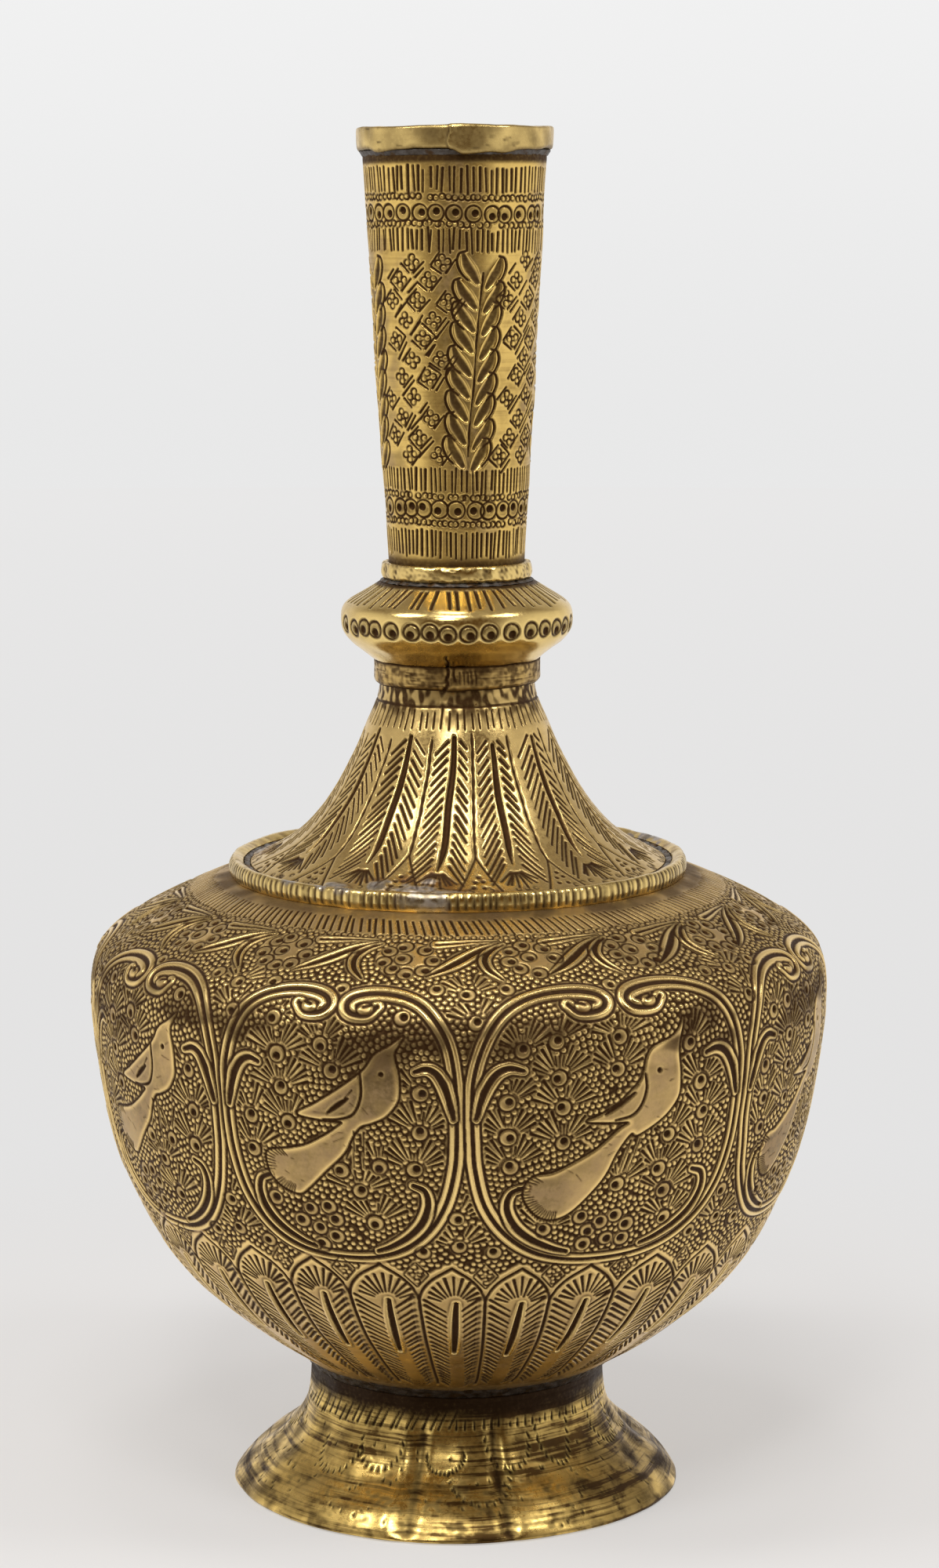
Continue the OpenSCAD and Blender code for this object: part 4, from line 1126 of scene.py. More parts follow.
def shell(name, node, rings, material, closed=True, stack=1):
    """One closed mesh from a list of rings round the axis, in the order of its section."""
    pos, att, start = [], [], []
    total = 0
    for g in rings:
        x, y, z = settle(g["th"], g["r"], g["z"])
        pos.append(np.stack([x, y, np.maximum(z, 0.0)], 1))
        att.append(g["att"])
        start.append(total)
        total += g["n"]
    pos = np.concatenate(pos) * 0.001
    att = np.concatenate(att)
    # texture space: the outer skin fills the sheet in stacked strips, the plain rest lies along its bottom
    outer = [g["s"] for g in rings if g["outer"]]
    o0, o1 = (min(outer), max(outer)) if outer else (0, 1)
    plain = [i for i, g in enumerate(rings) if not g["outer"]]
    order = {i: k for k, i in enumerate(plain)}
    m = len(plain) + 1
    quads, quv, tris, tuv, soft = [], [], [], [], []

    def strip(col, n, v, skin, low):
        if skin:
            b = np.minimum(low * stack // n, stack - 1)
            u = (col - b * n / stack) / (n / stack)
            return np.stack([0.004 + 0.992 * u, 0.16 + (0.84 * (b + 0.012 + 0.976 * v)) / stack], -1)
        return np.stack([0.004 + 0.992 * col / n, 0.004 + 0.142 * v + 0 * col], -1)

    count = len(rings)
    for j in range(count if closed else count - 1):
        A, B = rings[j], rings[(j + 1) % count]
        a0, b0 = start[j], start[(j + 1) % count]
        na, nb = A["n"], B["n"]
        skin = A["outer"] and B["outer"] and j + 1 < count
        if skin:
            va, vb = 1 - (A["s"] - o0) / (o1 - o0), 1 - (B["s"] - o0) / (o1 - o0)
        else:
            ka = order.get(j, -1)
            va, vb = (ka + 1) / (m + 1), (ka + 2) / (m + 1)
        if na == nb == 1:
            # both sides of the sheet reach the axis here, with no face between the two points
            continue
        if na == nb:
            i = np.arange(na)
            q = (i + 1) % na
            quads.append(np.stack([a0 + i, b0 + i, b0 + q, a0 + q], 1))
            soft.append(np.full(na, skin or A["outer"] == B["outer"] and j + 1 < count))
            quv.append(np.stack([strip(i, na, va, skin, i), strip(i, na, vb, skin, i), strip(i + 1, na, vb, skin, i), strip(i + 1, na, va, skin, i)], 1))
        elif nb == 1 or na == 1:
            n = max(na, nb)
            i = np.arange(n)
            q = (i + 1) % n
            if nb == 1:
                tris.append(np.stack([a0 + i, np.full(n, b0), a0 + q], 1))
                tuv.append(np.stack([strip(i, n, va, False, i), strip(i + 0.5, n, vb, False, i), strip(i + 1, n, va, False, i)], 1))
            else:
                tris.append(np.stack([np.full(n, a0), b0 + i, b0 + q], 1))
                tuv.append(np.stack([strip(i + 0.5, n, va, False, i), strip(i, n, vb, False, i), strip(i + 1, n, vb, False, i)], 1))
        elif na > nb:
            k = na // nb
            i = np.arange(na)
            mm = i // k
            tris.append(np.stack([a0 + i, b0 + mm, a0 + (i + 1) % na], 1))
            tuv.append(np.stack([strip(i, na, va, False, i), strip(mm, nb, vb, False, i), strip(i + 1, na, va, False, i)], 1))
            mm = np.arange(nb)
            tris.append(np.stack([a0 + (k * (mm + 1)) % na, b0 + mm, b0 + (mm + 1) % nb], 1))
            tuv.append(np.stack([strip(k * (mm + 1), na, va, False, mm), strip(mm, nb, vb, False, mm), strip(mm + 1, nb, vb, False, mm)], 1))
        else:
            k = nb // na
            i = np.arange(nb)
            mm = i // k
            tris.append(np.stack([a0 + mm, b0 + i, b0 + (i + 1) % nb], 1))
            tuv.append(np.stack([strip(mm, na, va, False, i), strip(i, nb, vb, False, i), strip(i + 1, nb, vb, False, i)], 1))
            mm = np.arange(na)
            tris.append(np.stack([a0 + mm, b0 + (k * (mm + 1)) % nb, a0 + (mm + 1) % na], 1))
            tuv.append(np.stack([strip(mm, na, va, False, mm), strip(k * (mm + 1), nb, vb, False, mm), strip(mm + 1, na, va, False, mm)], 1))
    quads = np.concatenate(quads) if quads else np.zeros((0, 4), int)
    quv = np.concatenate(quv).reshape(-1, 2) if len(quads) else np.zeros((0, 2))
    tris = np.concatenate(tris) if tris else np.zeros((0, 3), int)
    tuv = np.concatenate(tuv).reshape(-1, 2) if len(tris) else np.zeros((0, 2))

    me = bpy.data.meshes.new(name)
    me.vertices.add(total)
    me.vertices.foreach_set("co", pos.astype(np.float32).ravel())
    corners = np.concatenate([quads.ravel(), tris.ravel()]).astype(np.int32)
    me.loops.add(len(corners))
    me.loops.foreach_set("vertex_index", corners)
    nq, nt = len(quads), len(tris)
    me.polygons.add(nq + nt)
    begin = np.concatenate([np.arange(nq) * 4, nq * 4 + np.arange(nt) * 3]).astype(np.int32)
    me.polygons.foreach_set("loop_start", begin)
    me.update(calc_edges=True)
    me.polygons.foreach_set("use_smooth", np.concatenate(soft + [np.ones(nt, bool)]))
    uv = me.uv_layers.new(name="OFBake")
    uv.data.foreach_set("uv", np.concatenate([quv, tuv]).astype(np.float32).ravel())
    for k, layer in enumerate(LAYERS):
        a = me.attributes.new(layer, "FLOAT", "POINT")
        a.data.foreach_set("value", att[:, k].astype(np.float32))
    me.materials.append(material)
    me.update()
    ob = bpy.data.objects.new(name, me)
    bpy.context.scene.collection.objects.link(ob)
    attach(ob, "root")
    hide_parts(node)
    return ob, start


def marry(A, ia, B, ib, n):
    """Gives the two sheets that meet on a seam the same normals along it, so that the chasing runs across it unbroken."""
    found = []
    for (ob, start), i in ((A, ia), (B, ib)):
        me = ob.data
        cn = np.empty(len(me.loops) * 3, np.float32)
        me.corner_normals.foreach_get("vector", cn)
        cn = cn.reshape(-1, 3)
        vi = np.empty(len(me.loops), np.int32)
        me.loops.foreach_get("vertex_index", vi)
        size = np.empty(len(me.polygons), np.int32)
        me.polygons.foreach_get("loop_total", size)
        fine = np.empty(len(me.polygons), bool)
        me.polygons.foreach_get("use_smooth", fine)
        at = start[i]
        pick = np.nonzero(np.repeat(fine, size) & (vi >= at) & (vi < at + n))[0]
        N = np.zeros((n, 3))
        np.add.at(N, vi[pick] - at, cn[pick])
        found.append((me, cn, vi, pick, at, N / np.maximum(np.linalg.norm(N, axis=1, keepdims=True), 1e-9)))
    N = found[0][5] + found[1][5]
    N /= np.linalg.norm(N, axis=1, keepdims=True)
    for me, cn, vi, pick, at, _ in found:
        cn[pick] = N[vi[pick] - at]
        me.normals_split_custom_set(cn)


# ---- Materials
class Graph:
    """Short names for the nodes that the metals share."""

    def __init__(self, name):
        self.m = bpy.data.materials.new(name)
        self.m.use_nodes = True
        self.nt = self.m.node_tree
        self.nt.nodes.clear()
        self.out = self.nt.nodes.new("ShaderNodeOutputMaterial")
        self.bsdf = self.nt.nodes.new("ShaderNodeBsdfPrincipled")
        self.nt.links.new(self.bsdf.outputs["BSDF"], self.out.inputs["Surface"])
        self.co = self.nt.nodes.new("ShaderNodeTexCoord").outputs["Object"]

    def put(self, socket, v):
        if hasattr(v, "is_linked"):
            self.nt.links.new(v, socket)
        elif isinstance(v, (tuple, list)):
            socket.default_value = tuple(v) + ((1.0,) if len(v) == 3 and len(socket.default_value) == 4 else ())
        else:
            socket.default_value = v

    def attr(self, name):
        n = self.nt.nodes.new("ShaderNodeAttribute")
        n.attribute_name = name
        return n.outputs["Fac"]

    def math(self, op, a, b=0.0, c=None, clamp=False):
        n = self.nt.nodes.new("ShaderNodeMath")
        n.operation = op
        n.use_clamp = clamp
        self.put(n.inputs[0], a)
        self.put(n.inputs[1], b)
        if c is not None:
            self.put(n.inputs[2], c)
        return n.outputs[0]

    def noise(self, scale, detail=3.0, rough=0.55, stretch=None, distort=0.0):
        n = self.nt.nodes.new("ShaderNodeTexNoise")
        n.inputs["Scale"].default_value = scale
        n.inputs["Detail"].default_value = detail
        n.inputs["Roughness"].default_value = rough
        n.inputs["Distortion"].default_value = distort
        src = self.co
        if stretch is not None:
            mp = self.nt.nodes.new("ShaderNodeMapping")
            mp.inputs["Scale"].default_value = stretch
            self.nt.links.new(src, mp.inputs["Vector"])
            src = mp.outputs["Vector"]
        self.nt.links.new(src, n.inputs["Vector"])
        return n.outputs["Fac"]

    def ramp(self, v, lo, hi, to_lo=0.0, to_hi=1.0):
        n = self.nt.nodes.new("ShaderNodeMapRange")
        n.interpolation_type = "SMOOTHSTEP"
        self.put(n.inputs["Value"], v)
        n.inputs["From Min"].default_value = lo
        n.inputs["From Max"].default_value = hi
        n.inputs["To Min"].default_value = to_lo
        n.inputs["To Max"].default_value = to_hi
        return n.outputs["Result"]

    def mix(self, f, a, b):
        n = self.nt.nodes.new("ShaderNodeMix")
        n.data_type = "RGBA"
        self.put(n.inputs["Factor"], f)
        self.put(n.inputs["A"], a)
        self.put(n.inputs["B"], b)
        return n.outputs["Result"]


def brass(name, clean, tone, rough=0.3, tarnish=0.5, brushed=0.3, grain=0.3, patina_and_shade=(0.055, 0.023, 0.005), depth=1.0, streak=(14, 14, 900), bloom=(0.31, 0.215, 0.11), cover=0.45, blotch=1.0, band=(0.4, 0.75)):
    """Old brass: gold where it is rubbed, and brighter still on the raised edges as a painted highlight; brown-black in
    the tool marks, as patina and painted shade; cloudy with tarnish between.
    """
    g = Graph(name)
    recess, wear_and_highlight, rust, dull = (g.attr(k) for k in LAYERS)
    cloud = g.noise(38, 4, 0.6)
    spot = g.noise(210, 4, 0.6, distort=0.4)
    fine = g.noise(1300, 2, 0.5)
    lines = g.noise(1.0, 3, 0.6, stretch=streak)
    # how tarnished the plain metal is here
    t = g.math("ADD", g.ramp(cloud, 0.36, 0.66, 0, 0.6 * blotch), g.ramp(spot, 0.42, 0.7, 0, 0.5 * blotch))
    t = g.math("ADD", t, g.ramp(lines, band[0], band[1], -0.1, 0.35 * brushed + 0.05))
    t = g.math("MULTIPLY", t, tarnish)
    t = g.math("SUBTRACT", t, g.math("MULTIPLY", wear_and_highlight, 0.5), clamp=True)
    col = g.mix(t, clean, tone)
    # painted highlight: the raised, rubbed edges are made brighter than clean brass
    col = g.mix(g.math("MULTIPLY", wear_and_highlight, 0.55), col, tuple(min(1.0, c * 1.18) for c in clean))
    # grey-brown bloom on the plain raised shapes and by the solder
    d = g.math("MULTIPLY", dull, g.ramp(g.math("ADD", cloud, g.math("MULTIPLY", spot, 0.5)), 0.55, 0.95, cover, 0.95))
    d = g.math("MULTIPLY", d, g.math("SUBTRACT", 1.0, g.math("MULTIPLY", wear_and_highlight, 0.7), clamp=True))
    mottle = g.ramp(g.math("ADD", spot, g.math("MULTIPLY", fine, 0.35)), 0.5, 0.82)
    col = g.mix(d, col, g.mix(mottle, tuple(c * 0.42 for c in bloom), tuple(min(1.0, c * 1.35) for c in bloom)))
    # rust-brown stain
    r = g.math("MULTIPLY", rust, g.ramp(spot, 0.3, 0.62, 0.35, 1.0))
    col = g.mix(r, col, (0.26, 0.115, 0.025))
    # dark in the recesses, broken up a little: patina left in the hollows, and painted shade
    k = g.math("MULTIPLY", recess, g.ramp(fine, 0.2, 0.6, 0.85, 1.1))
    k = g.math("MULTIPLY", k, depth, clamp=True)
    k = g.math("SUBTRACT", 1.0, g.math("POWER", g.math("SUBTRACT", 1.0, k, clamp=True), 1.9), clamp=True)
    col = g.mix(k, col, patina_and_shade)
    g.put(g.bsdf.inputs["Base Color"], col)
    metal = g.math("SUBTRACT", 1.0, g.math("MULTIPLY", k, 0.15))
    metal = g.math("SUBTRACT", metal, g.math("MULTIPLY", r, 0.3), clamp=True)
    g.put(g.bsdf.inputs["Metallic"], metal)
    ro = g.math("ADD", rough, g.math("MULTIPLY", t, 0.16))
    ro = g.math("ADD", ro, g.math("MULTIPLY", k, 0.32))
    ro = g.math("ADD", ro, g.math("MULTIPLY", d, 0.14))
    ro = g.math("ADD", ro, g.ramp(fine, 0.3, 0.7, -0.04, 0.05))
    ro = g.math("SUBTRACT", ro, g.math("MULTIPLY", wear_and_highlight, 0.06), clamp=True)
    g.put(g.bsdf.inputs["Roughness"], ro)
    h = g.math("ADD", g.math("MULTIPLY", lines, 0.7 * min(brushed, 0.5)), g.math("MULTIPLY", fine, 0.5 * grain))
    h = g.math("ADD", h, g.math("MULTIPLY", spot, 0.5 * grain))
    b = g.nt.nodes.new("ShaderNodeBump")
    b.inputs["Strength"].default_value = 0.35
    b.inputs["Distance"].default_value = 0.00022
    g.put(b.inputs["Height"], h)
    g.nt.links.new(b.outputs["Normal"], g.bsdf.inputs["Normal"])
    return g.m


def solder(name):
    """Soft grey solder: grainy, dull, with brown flux left round it."""
    g = Graph(name)
    recess = g.attr("recess")
    rust = g.attr("rust")
    spot = g.noise(420, 4, 0.62)
    cloud = g.noise(90, 3, 0.6)
    fine = g.noise(2200, 2, 0.5)
    col = g.mix(g.ramp(spot, 0.35, 0.65), (0.33, 0.32, 0.31), (0.16, 0.15, 0.14))
    col = g.mix(g.math("MULTIPLY", g.math("ADD", rust, g.ramp(cloud, 0.48, 0.7, 0, 0.6)), g.ramp(spot, 0.4, 0.6), clamp=True), col, (0.17, 0.09, 0.03))
    # dark wherever the recess layer is set: flux in the hollows, and painted shade
    col = g.mix(g.math("MULTIPLY", recess, 0.97), col, (0.028, 0.016, 0.008))
    g.put(g.bsdf.inputs["Base Color"], col)
    g.put(g.bsdf.inputs["Metallic"], g.math("MAXIMUM", g.ramp(spot, 0.3, 0.7, 0.9, 0.55), recess))
    g.put(g.bsdf.inputs["Roughness"], g.ramp(fine, 0.3, 0.7, 0.42, 0.6))
    b = g.nt.nodes.new("ShaderNodeBump")
    b.inputs["Strength"].default_value = 0.6
    b.inputs["Distance"].default_value = 0.0004
    g.put(b.inputs["Height"], g.math("ADD", spot, g.math("MULTIPLY", fine, 0.3)))
    g.nt.links.new(b.outputs["Normal"], g.bsdf.inputs["Normal"])
    return g.m


SOLDERED = (0.50, 0.495, 0.50)
M_BODY = brass("chased_brass", (0.95, 0.665, 0.265), (0.54, 0.36, 0.152), rough=0.27, tarnish=0.6, brushed=0.15, grain=0.4)
M_NECK = brass("neck_brass", (0.85, 0.60, 0.185), (0.40, 0.262, 0.08), rough=0.25, tarnish=0.75, brushed=1.1, band=(0.42, 0.66), grain=0.25, streak=(16, 16, 1100))
M_BELL = brass("bell_brass", (0.83, 0.605, 0.235), (0.40, 0.28, 0.112), rough=0.23, tarnish=0.6, brushed=0.35, grain=0.2, bloom=SOLDERED, cover=0.85)
M_FOOT = brass("foot_brass", (0.98, 0.70, 0.22), (0.10, 0.056, 0.018), patina_and_shade=(0.03, 0.014, 0.004), rough=0.22, tarnish=1.0, brushed=1.5, grain=0.15, blotch=1.0, band=(0.43, 0.66), streak=(30, 30, 1100))
M_WORN = brass("worn_brass", (0.87, 0.655, 0.25), (0.48, 0.335, 0.13), rough=0.18, tarnish=0.45, brushed=0.4, grain=0.12, bloom=SOLDERED, cover=0.85)
M_DULL = brass("dull_brass", (0.62, 0.43, 0.15), (0.24, 0.155, 0.06), rough=0.28, tarnish=1.0, brushed=1.0, grain=0.35)
M_SOLDER = solder("solder")

# ---- The pieces
body = draw_body()
seam_row = 2 * int(round(float(np.interp(-112.0, -body.prof[:, 1], body.arc)) / body.ds / 2))
low_row = 2 * int(130 / body.ds / 2)
rows_up = list(range(0, seam_row + 1, 2))
rows_low = list(range(seam_row, low_row + 1, 2))
foot_at = float(np.interp(-28.0, -body.prof[:, 1], body.arc))
rows_low += list(range(low_row + 6, int(foot_at / body.ds), 6))
NB = body.cols // 2
inner = inward(BODY)
seam_s = body.sv[seam_row]
seam_z = float(np.interp(seam_s, body.arc, BODY[:, 1]))
in_up = [tuple(p) for p in inner[::3] if seam_z < p[1] <= 135.2]
in_low = [tuple(p) for p in inner[::3] if p[1] <= seam_z - 0.3 and p[0] > 1.0]
seam_in = (float(np.interp(seam_s, body.arc, inner[:, 0])), seam_z)

upper = canvas_rings(body, rows_up)
upper += plain_rings([seam_in], NB)
upper += plain_rings(in_up[::-1] + [(52.2, 136.15), (50.4, 136.4), (43.2, 136.4), (43.2, 137.6), (47.5, 137.6)], NB // 8)
SU = shell("body_upper_skin", "body_upper", upper, M_BODY, stack=3)

bottom = [tuple(p) for p in BODY[::3] if p[1] < 27.2 and p[0] > 1.0]
lower = canvas_rings(body, rows_low)
lower += plain_rings(bottom + [(0, 24)], NB // 8, att=(0.3, 0, 0.2, 0.3))
lower += plain_rings([(0, 25.2)] + in_low[::-1], NB // 8)
lower += plain_rings([seam_in], NB)
# the skin starts and ends on the seam, so the section is a closed loop
SL = shell("body_lower_skin", "body_lower", lower, M_BODY, stack=2)
marry(SU, len(rows_up) - 1, SL, 0, NB)

foot = draw_foot()


def foot_tweak(T, R, Z, s):
    # the standing edge is a little uneven
    k = smooth01((s - foot.S + 3) / 3)
    return R + 0.18 * k * np.cos(5 * T + 1) + 0.12 * k * np.cos(9 * T), Z


rf = canvas_rings(foot, list(range(0, foot.rows, 2)), tweak=foot_tweak)
inf = inward(FOOT)
pin = [tuple(p) for p in inf[::4] if 1.0 < p[1] < 26.8]
rf += plain_rings([(48.6, 0.0)], foot.cols // 2, att=(0.1, 0.5, 0, 0))
rf += plain_rings([(48.3, 0.45)] + pin[::-1] + [(31.6, 27.2)], foot.cols // 8, att=(0.35, 0, 0.2, 0.3), noise=0.05)
shell("foot_skin", "foot", rf, M_FOOT, stack=2)

bell = draw_bell()
rb = canvas_rings(bell, list(range(0, bell.rows, 2)))
inb = inward(BELL)
pb = [tuple(p) for p in inb[::4] if 142.4 < p[1] < 179.0]
rb += plain_rings([(46.0, 139.6), (46.0, 137.6), (44.8, 137.6), (44.8, 139.4)], bell.cols // 2, att=(0.5, 0, 0.4, 0.4))
rb += plain_rings(pb[::-1] + [(15.8, 180.0), (15.8, 184.0), (17.0, 184.0), (17.0, 181.5)], bell.cols // 8)
shell("bell_skin", "bell_collar", rb, M_BELL, stack=2)

neck = draw_neck()
rn = canvas_rings(neck, list(range(neck.rows)), every=1)
rn += plain_rings([(14.9, 200.0), (13.7, 200.0)], neck.cols, att=(0.5, 0, 0.3, 0.2))
rn += plain_rings(dense([(13.7, 201.0), (13.7, 206.5), (18.7, 293.0), (18.7, 298.8)], 4.0), neck.cols // 8, att=(0.3, 0, 0.25, 0.4))
rn += plain_rings([(19.6, 298.8)], neck.cols)
shell("neck_skin", "neck_tube", rn, M_NECK, stack=1)

knop = draw_knop()
kin = inward(KNOP)
krow = 2 * int(round(float(np.interp(-194.09, -knop.prof[:, 1], knop.arc)) / knop.ds / 2))
ks = knop.sv[krow]
kz = float(np.interp(ks, knop.arc, KNOP[:, 1]))
NK = knop.cols // 2
up = canvas_rings(knop, list(range(0, krow + 1, 2)))
up += plain_rings([(24.2, kz)], NK)
up += plain_rings([(24.05, 195.6), (23.5, 196.8), (22.4, 197.6), (19.4, 199.4), (16.3, 201.0), (14.9, 201.0), (14.9, 202.2), (16.2, 202.2)], NK // 5)
KU = shell("knop_upper_skin", "knop_upper", up, M_WORN, stack=2)
last_up = sum(g["outer"] for g in up) - 1
dn = canvas_rings(knop, list(range(krow, knop.rows, 2)))
dn += plain_rings([(16.65, 185.3)], NK)
dn += plain_rings([(16.65, 186.2), (19.9, 188.2), (22.1, 189.9), (23.4, 191.4), (24.05, 192.6)], NK // 5)
dn += plain_rings([(24.2, kz)], NK)
KL = shell("knop_lower_skin", "knop_lower", dn, M_WORN, stack=2)
marry(KU, last_up, KL, 0, NK)

ring = draw_shoulder_ring()
rr = canvas_rings(ring, list(range(0, ring.rows, 2)))
rr += plain_rings([(47.4, 137.6), (47.4, 139.6)], ring.cols // 2, att=(0.6, 0, 0.3, 0.3))
shell("shoulder_ring_skin", "shoulder_ring", rr, M_WORN, stack=4)

fer = draw_ferrule()
rfe = canvas_rings(fer, list(range(0, fer.rows, 2)))
rfe += plain_rings([(17.02, 180.0), (17.02, 182.5), (17.02, 185.3)], fer.cols // 2, att=(0.6, 0, 0.3, 0.2))
shell("ferrule_skin", "ferrule", rfe, M_DULL, stack=3)

# bead ring: rolled, nicked, and rubbed bright
BEAD = np.array([(15.4, 206.5), (16.0, 206.45)] + [(16.0 + 0.55 * math.cos(math.radians(a)), 204.7 + 1.7 * math.sin(math.radians(a))) for a in range(78, -79, -12)] + [(16.0, 202.95)])
bead = ring_canvas(BEAD, 640, 0.12, 51, dent=0.06, scale=5)
n = 26
bt, bs = bead.rng.uniform(0, 360, n), bead.rng.uniform(1.2, 4.2, n)
bead.chisel(np.stack([bt, bs], 1), np.stack([bt + bead.rng.uniform(1, 5, n), bs + bead.rng.normal(0, 0.4, n)], 1), w=0.25, depth=0.16, k=0.6, dark=0.8)
rbe = canvas_rings(bead, list(range(0, bead.rows, 2)))
rbe += plain_rings([(14.92, 202.9), (14.92, 206.5)], bead.cols // 2, att=(0.5, 0, 0.2, 0.2))
shell("neck_bead_skin", "neck_bead", rbe, M_WORN, stack=3)

# rim band: folded over the mouth, beaten lightly, with an uneven lower edge and a lapped seam at the front
RIM = curve([(18.1, 295.0), (18.1, 297.4), (18.12, 299.2), (18.45, 299.85), (19.2, 300.0), (20.6, 299.98), (21.18, 299.75), (21.3, 299.2), (21.3, 297.6), (21.28, 296.2), (21.12, 295.4), (20.7, 295.02)], 6)
rim = ring_canvas(RIM, 880, 0.15, 52, dent=0.035, scale=9)
A, S = np.meshgrid((np.degrees(np.arange(rim.cols) * rim.dt) + 180) % 360 - 180, rim.sv)
lap = smooth01((A + 4.0 + 0.8 * np.sin(S * 1.3)) / 1.6) * smooth01((40 - A) / 34)
rim.base += (0.22 * lap * smooth01((S - 6.0) / 1.5)).astype(np.float32)
n = 60
bt, bs = rim.rng.uniform(0, 360, n), rim.rng.uniform(5, 12, n)
rim.chisel(np.stack([bt, bs], 1), np.stack([bt + rim.rng.uniform(1, 7, n), bs + rim.rng.normal(0, 0.2, n)], 1), w=0.14, depth=0.08, k=0.5, dark=0.4)
rim.dark = np.maximum(rim.dark, (0.5 * smooth01((S - 11.3) / 1.2)).astype(np.float32))
rim.dark = np.maximum(rim.dark, (0.45 * smooth01((4.2 - S) / 1.5)).astype(np.float32))
rim.dark = np.maximum(rim.dark, (0.17 + 0.08 * ripple(rim, 6, 40, 77)).astype(np.float32))


def rim_tweak(T, R, Z, s):
    a = (np.degrees(T) + 180) % 360 - 180
    low = smooth01((s - 8.5) / 3.2)
    drop = 0.25 * np.sin(3 * T + 0.4) + 0.18 * np.sin(7 * T + 2) + 0.12 * np.sin(13 * T) + 0.9 * smooth01((a + 2) / 7) * smooth01((42 - a) / 16) + 0.5 * smooth01((a + 60) / 8) * smooth01((-22 - a) / 10)
    return R + 0.12 * np.sin(6 * T + 1) * low, Z - low * drop + 0.10 * np.sin(4 * T + 1.0) * smooth01((s - 4) / 2)


rri = canvas_rings(rim, list(range(0, rim.rows, 2)), tweak=rim_tweak)
rri += plain_rings([(19.93, 295.0), (19.93, 298.8), (18.67, 298.8), (18.67, 295.0)], rim.cols // 2, att=(0.5, 0, 0.2, 0.2))
shell("rim_band_skin", "rim_band", rri, M_WORN, stack=3)


# the solder runs: lumpy fillets
def solder_run(name, cad, prof, rest, cols, seed, lump, scale, darkening=0.0):
    cv = ring_canvas(curve(prof, 5), cols, 0.17, seed, dent=lump, scale=scale)
    cv.dark = np.maximum(cv.dark, np.maximum(darkening, 0.6 * smooth01((ripple(cv, scale * 0.6, 50, seed + 3) - 0.3) / 0.8)))
    cv.rust = np.maximum(cv.rust, smooth01((ripple(cv, scale * 1.4, 40, seed + 4)) / 0.8))
    g = canvas_rings(cv, list(range(0, cv.rows, 2)))
    g += plain_rings(rest, cols // 2, att=(0.6, 0, 0.3, 0.2))
    return shell(name, cad, g, M_SOLDER, stack=4)


# painted shadow: the foot's solder run lies under the bowl and is darkened almost to black
solder_run("foot_solder_run", "foot_solder", [(35.6, 29.85), (34.6, 28.75), (33.9, 28.0), (33.3, 27.3)], [(32.8, 27.2), (31.6, 27.2), (31.6, 27.7), (33.0, 28.35), (34.2, 29.0)], 1520, 61, 0.09, 3.0, darkening=0.93)
solder_run("shoulder_solder_run", "shoulder_solder", [(46.0, 140.2), (46.4, 140.45), (46.9, 140.5), (47.4, 140.7)], [(47.4, 139.0), (47.4, 137.6), (46.0, 137.6), (46.0, 139.2)], 1760, 62, 0.10, 4.0)
solder_run("bead_solder_run", "bead_solder", [(16.0, 202.95), (16.15, 202.8), (16.5, 202.55), (17.0, 202.25)], [(16.2, 202.2), (14.95, 202.2), (14.95, 202.9)], 640, 63, 0.07, 2.0, darkening=0.6)
solder_run("rim_solder_run", "rim_solder", [(20.6, 295.0), (20.45, 294.7), (20.25, 294.4), (19.95, 293.85)], [(19.86, 293.8), (19.88, 295.0)], 880, 64, 0.06, 3.0, darkening=0.7)

# ---- Floor, light and camera
sc = bpy.context.scene
sc.view_settings.view_transform = "Standard"
sc.view_settings.look = "None"

fm = bpy.data.materials.new("floor_paper")
fm.use_nodes = True
nt = fm.node_tree
nt.nodes.clear()
out = nt.nodes.new("ShaderNodeOutputMaterial")
mixs = nt.nodes.new("ShaderNodeMixShader")
dif = nt.nodes.new("ShaderNodeBsdfDiffuse")
dif.inputs["Color"].default_value = (0.95, 0.945, 0.94, 1)
em = nt.nodes.new("ShaderNodeEmission")
em.inputs["Color"].default_value = (0.775, 0.77, 0.768, 1)
tc = nt.nodes.new("ShaderNodeTexCoord")
ln = nt.nodes.new("ShaderNodeVectorMath")
ln.operation = "LENGTH"
mr = nt.nodes.new("ShaderNodeMapRange")
mr.interpolation_type = "SMOOTHSTEP"
mr.inputs["From Min"].default_value = 0.08
mr.inputs["From Max"].default_value = 0.34
mr.inputs["To Min"].default_value = 0.5
nt.links.new(tc.outputs["Object"], ln.inputs[0])
nt.links.new(ln.outputs["Value"], mr.inputs["Value"])
nt.links.new(mr.outputs["Result"], mixs.inputs[0])
far = nt.nodes.new("ShaderNodeMapRange")
for key, v in (("From Min", 0.5), ("From Max", 2.8), ("To Min", 1.0), ("To Max", 1.045)):
    far.inputs[key].default_value = v
nt.links.new(ln.outputs["Value"], far.inputs["Value"])
nt.links.new(far.outputs["Result"], em.inputs["Strength"])
nt.links.new(dif.outputs[0], mixs.inputs[1])
nt.links.new(em.outputs[0], mixs.inputs[2])
nt.links.new(mixs.outputs[0], out.inputs["Surface"])
fl = bpy.data.meshes.new("floor")
k = 64
ring_pts = [(3.0 * math.cos(TAU * i / k), 3.0 * math.sin(TAU * i / k), -0.0002) for i in range(k)]
fl.from_pydata(ring_pts, [], [tuple(range(k))])
floor = bpy.data.objects.new("floor", fl)
fl.materials.append(fm)
sc.collection.objects.link(floor)
floor.visible_glossy = False
floor.visible_diffuse = False

